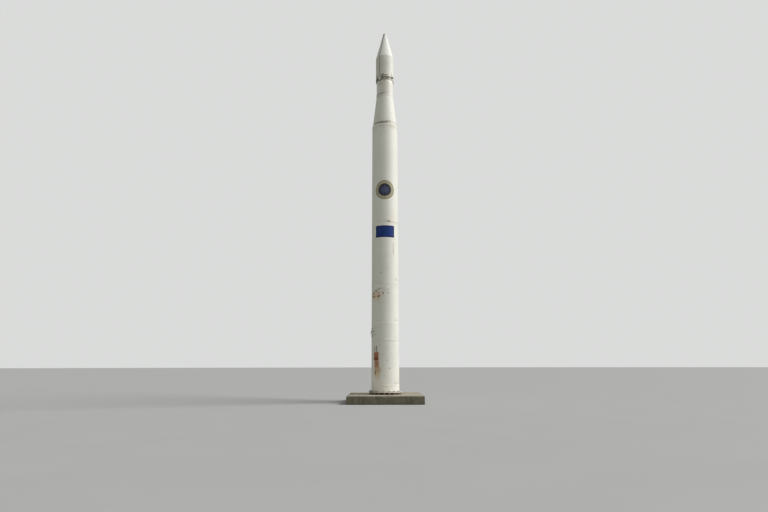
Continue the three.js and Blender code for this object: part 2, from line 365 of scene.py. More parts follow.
def nut(across, hole, tall):
    """A hexagon nut that stands on Z = 0, with its corners turned off at both ends."""
    core = TURNED_OFF * across
    cut = 0.12 * tall
    levels = [(hole, 0), (core, 0), (across, cut), (across, tall - cut), (core, tall), (hole, tall)]
    return closed_grid(hexagon(across, levels))


def hex_head(across, tall):
    """A hexagon bolt head on Z = 0, with its corners turned off at the top."""
    core = 0.42 * across
    levels = [(core, 0), (across, 0), (across, 0.8 * tall), (TURNED_OFF * across, tall), (core, tall)]
    return bar(hexagon(across, levels))


def thread(radius, low, high, pitch):
    """A bolt's threaded end: ridges a pitch apart, and a chamfer at the top."""
    turns = max(1, round((high - low) / pitch))
    step = (high - low) / turns
    outline = []
    for i in range(turns):
        outline += [(0.91 * radius, low + step * i), (radius, low + step * (i + 0.5))]
    return peg([*outline, (0.8 * radius, high)])


def rivet(radius):
    """A low round head on Z = 0."""
    return peg([(radius, 0), (0.94 * radius, 0.25 * radius), (0.6 * radius, 0.5 * radius)], 10)


def span(node):
    """A node's bottom and top, and how far it reaches along X: its radius where it is round."""
    low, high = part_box(node)
    return low[2], high[2], high[0]


def dented(shape, radius):
    """Pushes a round skin in a little where a slow noise is high, as rolled plate is between its welds."""
    points, faces = shape
    bent = []
    for x, y, z in points:
        push = 0.0
        if math.hypot(x, y) > radius - EDGE / 2:
            push = DENT * max(0.0, noise.noise(Vector((x, y, z)) * DENT_GRAIN))
        shrink = 1 - push / radius
        bent.append((x * shrink, y * shrink, z))
    return bent, faces


# Finishes.


class Finish:
    """A material, and short calls that add nodes to it. Each call gives the socket that leaves its node."""

    def __init__(self, name, roughness=0.6, metallic=0.0):
        self.material = bpy.data.materials.new(name)
        self.material.use_nodes = True
        self.tree = self.material.node_tree
        self.shader = self.tree.nodes["Principled BSDF"]
        self.shader.inputs["Roughness"].default_value = roughness
        self.shader.inputs["Metallic"].default_value = metallic
        self.place = self.add("ShaderNodeTexCoord", output="Object")
        self.x, self.y, self.z = self.split(self.place)

    def feed(self, socket, value):
        if isinstance(value, bpy.types.NodeSocket):
            self.tree.links.new(value, socket)
        elif socket.type == "RGBA":
            socket.default_value = (*value, 1)
        else:
            socket.default_value = value

    def add(self, kind, values=None, output=0, **settings):
        node = self.tree.nodes.new(kind)
        for setting, value in settings.items():
            setattr(node, setting, value)
        for socket, value in (values or {}).items():
            self.feed(node.inputs[socket], value)
        return node.outputs[output]

    def split(self, vector):
        link = self.add("ShaderNodeSeparateXYZ", {"Vector": vector})
        return link.node.outputs

    def maths(self, operation, *values):
        return self.add("ShaderNodeMath", dict(enumerate(values)), operation=operation)

    def fold(self, operation, *values):
        result = values[0]
        for value in values[1:]:
            result = self.maths(operation, result, value)
        return result

    def plus(self, *values):
        return self.fold("ADD", *values)

    def times(self, *values):
        return self.fold("MULTIPLY", *values)

    def most(self, *values):
        return self.fold("MAXIMUM", *values)

    def fade(self, value, start, end, low=0.0, high=1.0):
        """Goes smoothly from low to high as the value goes from start to end."""
        values = {"Value": value, "From Min": start, "From Max": end, "To Min": low, "To Max": high}
        return self.add("ShaderNodeMapRange", values, interpolation_type="SMOOTHSTEP")

    def blend(self, amount, first, second):
        return self.add("ShaderNodeMix", {0: amount, 6: first, 7: second}, output=2, data_type="RGBA")

    def over(self, paint, colour, value, start, end, strength=1.0):
        """Lays a colour over a paint as a value goes from start to end."""
        return self.blend(self.fade(value, start, end, 0.0, strength), paint, colour)

    def vector(self, operation, *values, output=0):
        return self.add("ShaderNodeVectorMath", dict(enumerate(values)), output, operation=operation)

    def noise(self, scale, detail=3.0, roughness=0.55, stretch=None, shift=(0, 0, 0)):
        place = self.vector("MULTIPLY_ADD", self.place, stretch or (1, 1, 1), shift)
        values = {"Vector": place, "Scale": scale, "Detail": detail, "Roughness": roughness}
        return self.add("ShaderNodeTexNoise", values)

    def from_axis(self):
        flat = self.vector("MULTIPLY", self.place, (1, 1, 0))
        return self.vector("LENGTH", flat, output=1)

    def specks(self, scale, size, share):
        """Round specks: one in some of a grain's cells, of a size that is a part of the cell."""
        near = self.add("ShaderNodeTexVoronoi", {"Vector": self.place, "Scale": scale})
        chance = self.split(near.node.outputs["Color"])[0]
        return self.times(self.fade(near, size, 0.6 * size), self.maths("LESS_THAN", chance, share))

    def ragged(self, value, noise, reach):
        """A value that a noise moves up and down by a reach."""
        return self.plus(value, self.maths("MULTIPLY_ADD", noise, 2 * reach, -reach))

    def finish(self, colour, roughness=None, height=None, distance=0.002, strength=1.0):
        self.feed(self.shader.inputs["Base Color"], colour)
        if roughness is not None:
            self.feed(self.shader.inputs["Roughness"], roughness)
        if height is not None:
            values = {"Height": height, "Distance": distance, "Strength": strength}
            self.feed(self.shader.inputs["Normal"], self.add("ShaderNodeBump", values))
        return self.material


class Paint(Finish):
    """Faded paint on a round wall, which marks can be laid on."""

    def __init__(self, name, radius):
        super().__init__(name)
        self.radius = radius
        turn = self.maths("ARCTAN2", self.x, self.times(self.y, -1.0))
        # A point's place on the wall: the way round it from the front, 0, and the height.
        self.wall = self.add("ShaderNodeCombineXYZ", {"X": self.times(turn, radius), "Z": self.z})
        self.cloud = self.noise(6.0, 5.0, 0.6)
        self.rag = self.noise(19.0, 4.0, 0.65)
        self.fine = self.noise(75.0, 4.0, 0.65)
        self.streaks = self.noise(1.0, 3.0, 0.6, (70, 70, 1.3), (5, 0, 0))
        self.worn = 0.0  # where the paint is gone

    def from_mark(self, azimuth, height, half_width, half_height):
        """A point's place on the wall from a mark's middle, in halves of the mark's size."""
        scale = (1 / half_width, 0, 1 / half_height)
        shift = (-math.radians(azimuth) * self.radius / half_width, 0, -height / half_height)
        return self.vector("MULTIPLY_ADD", self.wall, scale, shift)

    def off_centre(self, *mark):
        """How far a point of the wall is from a mark's middle: 1 on the mark's edge."""
        return self.vector("LENGTH", self.from_mark(*mark), output=1)

    def stain(self, paint, azimuth, height, half_width, half_height, colour, strength):
        """A soft cloud of colour with a ragged edge."""
        off = self.ragged(self.off_centre(azimuth, height, half_width, half_height), self.rag, 0.9)
        soft = self.fade(off, 1.25, 0.45, 0.0, strength)
        return self.blend(self.times(soft, self.fade(self.fine, 0.25, 0.5, 0.6, 1.0)), paint, colour)

    def spot(self, paint, azimuth, height, half_width, half_height, strength):
        """Paint flaked off to dark rust, with a rusty rim, and a faint halo that has run down a little."""
        off = self.ragged(self.off_centre(azimuth, height, half_width, half_height), self.rag, 0.7)
        halo = self.off_centre(azimuth, height - 0.5 * half_height, 2.2 * half_width, 2.8 * half_height)
        paint = self.over(paint, TAN, self.ragged(halo, self.rag, 0.8), 1.2, 0.2, 0.5 * strength)
        rim = self.ragged(off, self.fine, 0.5)
        paint = self.over(paint, RUST, rim, 1.25, 0.95, strength)
        bare = self.fade(self.plus(rim, 0.12), 1.0, 0.8, 0.0, strength)
        self.worn = self.most(self.worn, bare)
        return self.blend(bare, paint, self.over(SOOT, BROWN, self.fine, 0.4, 0.6))

    def run(self, paint, azimuth, top, half_width, length, colour, strength):
        """Streaks that run down from a place and fade."""
        across, _, down = self.split(self.from_mark(azimuth, top, half_width, -length))
        across = self.ragged(self.maths("ABSOLUTE", across), self.streaks, 0.7)
        down = self.ragged(down, self.streaks, 0.35)
        amount = self.times(
            self.fade(across, 1.15, 0.6),
            self.fade(down, 1.0, 0.3),
            self.fade(down, -0.04, 0.08),
            self.fade(self.rag, 0.3, 0.55, 0.55, 1.0),
            strength,
        )
        return self.blend(amount, paint, colour)


def weathered(name, colour, low, high, radius, marks, grime, rust, inside=None, split=None):
    """Faded paint between two heights, with dirt at both ends, runs, rust specks and its own marks.

    A mark is its kind, a method of Paint, and what that method takes. Inside is the painted skin's
    radius at its bottom and its top: what lies within is primer. Split is the azimuth of a joint from
    end to end.
    """
    f = Paint(name, radius)
    broad = f.noise(1.1, 3.0)
    grain = f.noise(210.0, 3.0, 0.6)
    runs = f.noise(1.0, 4.0, 0.6, (13, 13, 0.5))
    from_top = f.maths("SUBTRACT", high, f.z)
    from_bottom = f.maths("SUBTRACT", f.z, low)

    faded = tuple(0.95 * part for part in colour)
    paint = f.over(colour, faded, broad, 0.35, 0.68)
    paint = f.over(paint, DUST, f.cloud, 0.48, 0.78, 0.22 * grime)
    run = f.times(f.fade(runs, 0.52, 0.74), f.fade(f.streaks, 0.36, 0.62, 0.25, 1.0))
    paint = f.blend(f.times(run, 0.16 * grime), paint, DIRT)
    # A greenish, darker tint on the left: partly algae, partly painted shade of the side away from the sun.
    shade = f.fade(f.x, 0.2 * radius, -0.8 * radius, 0.0, 0.3)
    paint = f.blend(f.times(shade, f.fade(f.cloud, 0.25, 0.6, 0.5, 1.0)), paint, ALGAE_AND_SHADE_TINT)

    wander = f.times(f.rag, 0.05)
    seam_top = f.fade(f.plus(from_top, wander), 0.046, 0.022)
    seam_bottom = f.fade(f.plus(from_bottom, wander), 0.042, 0.020)
    seam = f.most(seam_top, seam_bottom)
    paint = f.blend(f.times(seam, 0.11 * grime), paint, DIRT)
    bleed = f.times(f.fade(from_top, 0.34, 0.0), f.fade(f.streaks, 0.6, 0.74), f.fade(f.cloud, 0.4, 0.6))
    paint = f.blend(f.times(bleed, 0.5 * rust), paint, RUST_RUN)
    chips = f.times(f.specks(26.0, 0.16, 0.06 * rust), f.fade(f.cloud, 0.38, 0.6))
    edge_chips = f.times(seam, f.fade(f.rag, 0.64, 0.72), rust)
    f.worn = f.most(chips, edge_chips)
    paint = f.blend(f.worn, paint, RUST)
    for kind, *rest in marks:
        paint = getattr(f, kind)(paint, *rest)
    if split is not None:
        off = f.vector("DOT_PRODUCT", f.place, at(split + 90, 1, 0), output=1)
        off = f.plus(f.maths("ABSOLUTE", off), f.times(f.rag, 0.012))
        paint = f.over(paint, DIRT, off, 0.034, 0.018, 0.88)
    if inside:
        bottom, top = inside
        slope = (top - bottom) / (high - low)
        wall = f.maths("MULTIPLY_ADD", from_bottom, slope, bottom - LEAF_WALL / 3)
        primer = f.over(PRIMER, PALE_PRIMER, f.cloud, 0.3, 0.7)
        paint = f.blend(f.maths("LESS_THAN", f.from_axis(), wall), paint, primer)
    roughness = f.plus(f.fade(f.cloud, 0.2, 0.8, 0.5, 0.68), f.times(f.worn, 0.25))
    relief = f.maths("MULTIPLY_ADD", grain, 0.07, f.times(f.cloud, 0.35))
    relief = f.maths("SUBTRACT", relief, f.times(f.worn, 0.4))
    return f.finish(paint, roughness, relief, 0.0015, 0.5)


def steel(name, colour, rust, metallic, roughness, dirt):
    """Bare or painted metal, dark with dirt in places, brushed, and rusty in cloudy patches."""
    f = Finish(name, roughness, metallic)
    cloud = f.noise(7.0, 6.0, 0.7)
    patch = f.noise(23.0, 7.0, 0.72, None, (3, 1, 2))
    grain = f.noise(260.0, 3.0, 0.6)
    scratch = f.noise(1.0, 2.0, 0.5, (30, 30, 420))
    worn = tuple(min(1.0, 1.25 * part) for part in colour)
    paint = f.over(colour, worn, scratch, 0.4, 0.7)
    paint = f.over(paint, SOOT, cloud, 0.4, 0.75, dirt)
    spread = f.maths("MULTIPLY_ADD", cloud, 0.6, f.times(patch, 0.7))
    film = f.fade(spread, 0.82 - 0.5 * rust, 0.98 - 0.4 * rust, 0.0, min(1.0, 0.35 + rust))
    scale = f.fade(spread, 0.92 - 0.5 * rust, 1.02 - 0.4 * rust)
    paint = f.blend(film, paint, (0.17, 0.085, 0.045))
    paint = f.blend(f.times(scale, f.fade(grain, 0.35, 0.6)), paint, (0.33, 0.15, 0.06))
    rough = f.maths("MULTIPLY_ADD", film, 0.3, f.fade(cloud, 0.2, 0.8, roughness - 0.1, roughness + 0.1))
    relief = f.maths("MULTIPLY_ADD", scale, 0.5, f.times(grain, 0.35))
    return f.finish(paint, rough, relief, 0.001, 0.6)


def sign_paint(name, colour, mottle, strength):
    """Faded sign paint, mottled, with runs of dirt and pin holes."""
    f = Finish(name)
    f.shader.inputs["Specular IOR Level"].default_value = 0.15
    cloud = f.noise(15.0, 5.0, 0.65)
    runs = f.noise(1.0, 4.0, 0.6, (45, 45, 1.2))
    grain = f.noise(240.0, 3.0, 0.6)
    paint = f.over(colour, mottle, cloud, 0.35, 0.7, strength)
    paint = f.over(paint, DUST, runs, 0.5, 0.8, 0.06)
    paint = f.blend(f.times(f.specks(48.0, 0.17, 0.08), 0.8), paint, BROWN)
    relief = f.maths("MULTIPLY_ADD", grain, 0.08, f.times(cloud, 0.3))
    return f.finish(paint, f.fade(cloud, 0.2, 0.8, 0.45, 0.65), relief, 0.001, 0.5)


def rusted_plate(name, low, high):
    """Rusted plate: brick above, nearly black below, flaking."""
    f = Finish(name)
    cloud = f.noise(13.0, 5.0, 0.65)
    flakes = f.noise(60.0, 5.0, 0.7)
    grain = f.noise(300.0, 3.0, 0.6)
    paler = f.noise(5.0, 3.0, 0.6, None, (2, 5, 1))
    share = f.maths("DIVIDE", f.maths("SUBTRACT", f.z, low), high - low)
    level = f.maths("MULTIPLY_ADD", cloud, 0.9, share)
    rust = f.over((0.20, 0.06, 0.018), (0.43, 0.18, 0.085), level, 0.6, 0.95)
    rust = f.over(rust, (0.55, 0.30, 0.19), paler, 0.5, 0.66, 0.8)
    rust = f.over(rust, (0.50, 0.25, 0.12), flakes, 0.55, 0.7, 0.6)
    rust = f.over(rust, (0.08, 0.03, 0.015), flakes, 0.42, 0.34, 0.7)
    relief = f.plus(flakes, f.times(grain, 0.3))
    return f.finish(rust, f.fade(grain, 0.2, 0.8, 0.75, 0.95), relief, 0.003, 0.9)


def concrete(name, top):
    """Cast concrete: pale and stained on top, dark and streaked down its sides, with form-board lines."""
    f = Finish(name)
    cloud = f.noise(2.6, 5.0, 0.6)
    blotch = f.noise(9.0, 5.0, 0.65)
    sand = f.noise(120.0, 4.0, 0.7)
    runs = f.noise(1.0, 4.0, 0.6, (7, 7, 0.7))
    stones = f.add("ShaderNodeTexVoronoi", {"Vector": f.place, "Scale": 42.0})
    on_top = f.fade(f.z, top - 0.008, top - 0.001)
    upper = f.over((0.47, 0.43, 0.34), (0.36, 0.325, 0.25), cloud, 0.35, 0.65)
    upper = f.over(upper, (0.24, 0.22, 0.16), blotch, 0.55, 0.75, 0.5)
    side = f.over((0.20, 0.185, 0.125), (0.12, 0.108, 0.07), cloud, 0.3, 0.7)
    side = f.over(side, (0.065, 0.06, 0.04), runs, 0.5, 0.7, 0.6)
    side = f.over(side, (0.30, 0.28, 0.21), blotch, 0.6, 0.75, 0.5)
    damp = f.times(f.fade(f.z, 0.09, 0.0), f.fade(blotch, 0.3, 0.6))
    side = f.blend(damp, side, (0.08, 0.075, 0.05))
    paint = f.blend(on_top, side, upper)
    # Rust and dirt lie round the foot, and under the plate it is painted nearly black: painted shade in the
    # gap.
    out = f.plus(f.from_axis(), f.times(blotch, 0.16))
    paint = f.blend(f.times(on_top, f.fade(out, 1.05, 0.80, 0.0, 0.55)), paint, (0.23, 0.16, 0.10))
    paint = f.blend(f.times(on_top, f.fade(out, 0.80, 0.72)), paint, (0.035, 0.03, 0.025))
    paint = f.over(paint, (0.10, 0.09, 0.07), sand, 0.35, 0.65, 0.25)
    stone = f.times(f.fade(stones, 0.3, 0.16), f.fade(blotch, 0.45, 0.65, 0.0, 0.3))
    paint = f.blend(stone, paint, (0.42, 0.40, 0.34))
    boards = f.maths("PINGPONG", f.z, 0.055)
    line = f.times(f.fade(boards, 0.004, 0.001), f.maths("SUBTRACT", 1.0, on_top))
    pits = f.specks(30.0, 0.2, 0.25)
    relief = f.maths("MULTIPLY_ADD", blotch, 0.6, f.times(sand, 0.4))
    relief = f.maths("SUBTRACT", relief, f.plus(f.times(line, 0.25), f.times(pits, 0.5)))
    return f.finish(paint, f.fade(sand, 0.2, 0.8, 0.85, 0.98), relief, 0.006, 0.8)


def plain_floor(name):
    f = Finish(name)
    paler = tuple(1.02 * part for part in FLOOR_COLOUR)
    return f.finish(f.over(FLOOR_COLOUR, paler, f.noise(0.5, 4.0, 0.6), 0.35, 0.65), 0.9)


# Pieces.


def meshed(name, shape):
    points, faces = shape
    mesh = bpy.data.meshes.new(name)
    mesh.from_pydata(points, [], faces)
    return mesh


def piece(name, shape, material, body="rocket", replaces=(), sharp=32):
    mesh = meshed(name, shape)
    mesh.materials.append(material)
    mesh.shade_smooth()
    mesh.set_sharp_from_angle(angle=math.radians(sharp))
    made = placed(name, mesh)
    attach(made, body)
    if replaces:
        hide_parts(*replaces)
    return made


def refined(name, node, material, body="rocket", edge=0.0012):
    """A node's own shape with its flats made whole and its edges softened."""
    shape = bmesh.new()
    shape.from_mesh(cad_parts[node].data)
    bmesh.ops.remove_doubles(shape, verts=shape.verts, dist=1e-5)
    flat = math.radians(1)
    crease = math.radians(30)
    bmesh.ops.dissolve_limit(shape, angle_limit=flat, verts=shape.verts, edges=shape.edges)
    sharp = [e for e in shape.edges if e.is_manifold and e.calc_face_angle() > crease]
    bmesh.ops.bevel(shape, geom=sharp, offset=edge, segments=2, profile=0.5, affect="EDGES")
    points = [vert.co.to_tuple() for vert in shape.verts]
    shape.verts.index_update()
    faces = [tuple(vert.index for vert in face.verts) for face in shape.faces]
    shape.free()
    return piece(name, (points, faces), material, body, (node,))


def floor():
    bpy.ops.mesh.primitive_circle_add(vertices=96, radius=FLOOR_RADIUS, fill_type="NGON")
    made = bpy.context.object
    made.name = "floor"
    made.data.materials.append(plain_floor("floor"))


# The slab.
SLAB_STEPS = 64  # points along each side
SLAB_ROUND = 0.020
SLAB_ROW = 0.06
SLAB_RING = 0.1
CHIP = 0.03
CHIP_GAIN = 2.2
CHIP_ONSET = 0.12  # the edge is whole where the noise is lower
CHIP_GRAIN = 2.9  # the noise that says where the edge is chipped
SAG_GRAIN = 1.1  # and where the top is low
LEVEL_RADIUS = 0.8  # the slab's top is level under the foot
SAG = 0.002  # and this much lower elsewhere, at most


def ground_slab():
    """A cast block whose upper edge is chipped in places and whose top is a little uneven."""
    bottom, top, half = span("ground_slab")

    def loop(inset, height, chipped):
        side = half - inset
        ways = [side * (2 * i / SLAB_STEPS - 1) for i in range(SLAB_STEPS)]
        corners = [(way, -side) for way in ways] + [(side, way) for way in ways]
        corners += [(-way, side) for way in ways] + [(-side, -way) for way in ways]
        points = []
        for x, y in corners:
            depth = noise.noise(Vector((x, y, 0)) * CHIP_GRAIN) - CHIP_ONSET
            bite = CHIP_GAIN * CHIP * max(0.0, depth)
            x *= 1 - chipped * bite / half
            y *= 1 - chipped * bite / half
            z = height
            if height > top - SAG and math.hypot(x, y) > LEVEL_RADIUS:
                z -= SAG * (0.5 + 0.5 * noise.noise(Vector((x, y, 0)) * SAG_GRAIN))
            points.append((x, y, z))
        return points

    rows = [(SLAB_ROUND, bottom, 0), (0, bottom + SLAB_ROUND, 0)]
    rows += [(0, height, 0) for height in spaced(bottom + SLAB_ROW, top - 1.5 * SLAB_ROW, SLAB_ROW)]
    rows += [
        (0, top - CHIP - SLAB_ROUND, 0),
        (0, top - SLAB_ROUND, 0.5),
        (0.3 * SLAB_ROUND, top - 0.3 * SLAB_ROUND, 0.9),
        (SLAB_ROUND, top, 1.0),
    ]
    rows += [(inset, top, 0) for inset in spaced(SLAB_ROUND + CHIP, half - SLAB_RING, SLAB_RING)]
    shape = bar([loop(*row) for row in rows])
    material = concrete("concrete", top)
    piece("slab_casting", shape, material, replaces=("ground_slab",), sharp=40)


# The foot.
ANCHOR_COUNT = 18
ANCHOR_CIRCLE = 0.67
ANCHOR_FIRST = -4  # degrees
STUD_RADIUS = 0.020
NUT_ACROSS = 0.066
NUT_TALL = 0.034  # with its washer
NUT_TURN = 17  # degrees between the nuts below and above the plate
WASHER_RADIUS = 0.041
WASHER_THICK = 0.005
THREAD_PITCH = 0.004
ANCHOR_HOLE = 0.024
TEMPLATE_INNER = 0.622
TEMPLATE_THICK = 0.012
FOOT_WELD = 0.012  # along each leg
RIPPLE = 0.10  # how much a ripple is higher than the weld, as a part of it
RIPPLE_LONG = 5  # steps round the weld


def anchors(steel_finish, ring_finish):
    """The anchor bolts, each with a nut and a washer on both sides of the plate, and the ring below."""
    plate_low, plate_high, _ = span("base_plate")
    low, high, ring_outer = span("anchor_frame")
    ring_top = low + TEMPLATE_THICK
    under = plate_low - SKIN_GAP
    over = plate_high + SKIN_GAP
    outline = hoop(STUD_RADIUS, WASHER_RADIUS, 0, WASHER_THICK, roundings=(0, 0.0012, 0.0012, 0))
    washer = lathe(outline, sides=32)
    hexagon_nut = nut(NUT_ACROSS, hole=0.95 * STUD_RADIUS, tall=NUT_TALL - WASHER_THICK)
    bolt = together(
        thread(STUD_RADIUS, ring_top - 0.001, high, THREAD_PITCH),
        raised(hexagon_nut, under - NUT_TALL),
        raised(washer, under - WASHER_THICK),
        raised(washer, over),
        raised(around(hexagon_nut, NUT_TURN), over + WASHER_THICK),
    )
    bolts = ringed(shifted(bolt, 0, -ANCHOR_CIRCLE, 0), ANCHOR_COUNT, ANCHOR_FIRST)
    piece("anchor_bolts", bolts, steel_finish, replaces=("anchor_frame",))
    ring = lathe(hoop(TEMPLATE_INNER, ring_outer, low, ring_top, roundings=(0, 0, 0.002, 0.002)))
    piece("template_ring", ring, ring_finish, replaces=("anchor_frame",))


def base_plate():
    """The round plate, with a hole drilled for each anchor bolt."""
    low, high, radius = span("base_plate")
    marks = [
        # Brown along the plate's foot and underside: partly rust, partly painted shade under the plate.
        ("stain", 0, low, 9.0, 0.010, BROWN, 0.7),
        ("stain", 0, high + 0.005, 9.0, 0.013, (0.52, 0.48, 0.39), 0.6),
        ("stain", -55, high, 0.36, 0.05, (0.40, 0.37, 0.29), 0.7),
    ]
    paint = weathered("plate_paint", (0.76, 0.73, 0.64), low, high, radius, marks, grime=1.0, rust=1.0)
    shape = disc(radius, low, high, edge=0.004, step=0.06)
    made = piece("foot_plate", shape, paint, replaces=("base_plate",))
    past = 0.02
    hole = peg([(ANCHOR_HOLE, low - past), (ANCHOR_HOLE, high + past)], sides=24)
    hole = shifted(hole, 0, -ANCHOR_CIRCLE, 0)
    cutter = placed("drill", meshed("drill", ringed(hole, ANCHOR_COUNT, ANCHOR_FIRST)))
    drill = made.modifiers.new("drill", "BOOLEAN")
    drill.operation = "DIFFERENCE"
    drill.solver = "EXACT"
    drill.object = cutter
    bpy.context.view_layer.update()
    whole = made.evaluated_get(bpy.context.evaluated_depsgraph_get())
    drilled = bpy.data.meshes.new_from_object(whole)
    made.modifiers.clear()
    made.data = drilled
    bpy.data.objects.remove(cutter)


def foot_weld(material):
    """The weld between the collar and the base plate, laid in ripples."""
    low, _, radius = span("base_collar")
    steps = 3 * STEPS
    section = [
        (WELD_FOOT, 0),
        (FOOT_WELD, 0),
        (0.62 * FOOT_WELD, 0.36 * FOOT_WELD),
        (0.36 * FOOT_WELD, 0.62 * FOOT_WELD),
        (0, FOOT_WELD),
        (WELD_FOOT, FOOT_WELD),
    ]
    rows = []
    for out, up in section:
        row = []
        for i in range(steps):
            ripple = 1 + RIPPLE * math.sin(2 * math.pi * i / RIPPLE_LONG)
            ripple += 0.12 * noise.noise(Vector((0.05 * i, 0, 0)))
            row.append(at(360 * i / steps, radius + max(out * ripple, min(out, 0)), low + up * ripple))
        rows.append(row)
    piece("foot_weld", closed_grid(rows), material)


# The body. The rings have rows of screw heads, and the tubes a weld up their length.
SECTIONS = [
    # node, rows of screws, azimuth of the lengthwise weld, how dirty, how rusty
    ("base_collar", 0, 158, 1.2, 1.0),
    ("foot_ring", 1, None, 0.9, 1.2),
    ("aft_skirt", 0, -166, 1.0, 1.0),
    ("joint_ring_1", 1, None, 0.7, 0.5),
    ("motor_case_1", 0, 152, 1.0, 0.8),
    ("joint_ring_2", 2, None, 0.5, 0.6),
    ("motor_case_2", 0, -158, 1.0, 0.9),
    ("joint_ring_3", 2, None, 0.6, 0.25),
    ("motor_case_3", 0, 170, 0.9, 0.6),
    ("motor_case_4", 0, -172, 0.9, 0.6),
    ("joint_ring_4", 1, None, 0.9, 0.8),
    ("forward_case", 0, 164, 0.8, 0.6),
    ("shoulder_ring", 0, None, 1.3, 1.3),
]

# Paler whites, laid on as painted light: at the foot, and where a lip or a ledge shades the skin below it.
PALER_PAINTED_LIGHT = (0.87, 0.85, 0.77)
PALEST_PAINTED_LIGHT = (0.97, 0.945, 0.83)

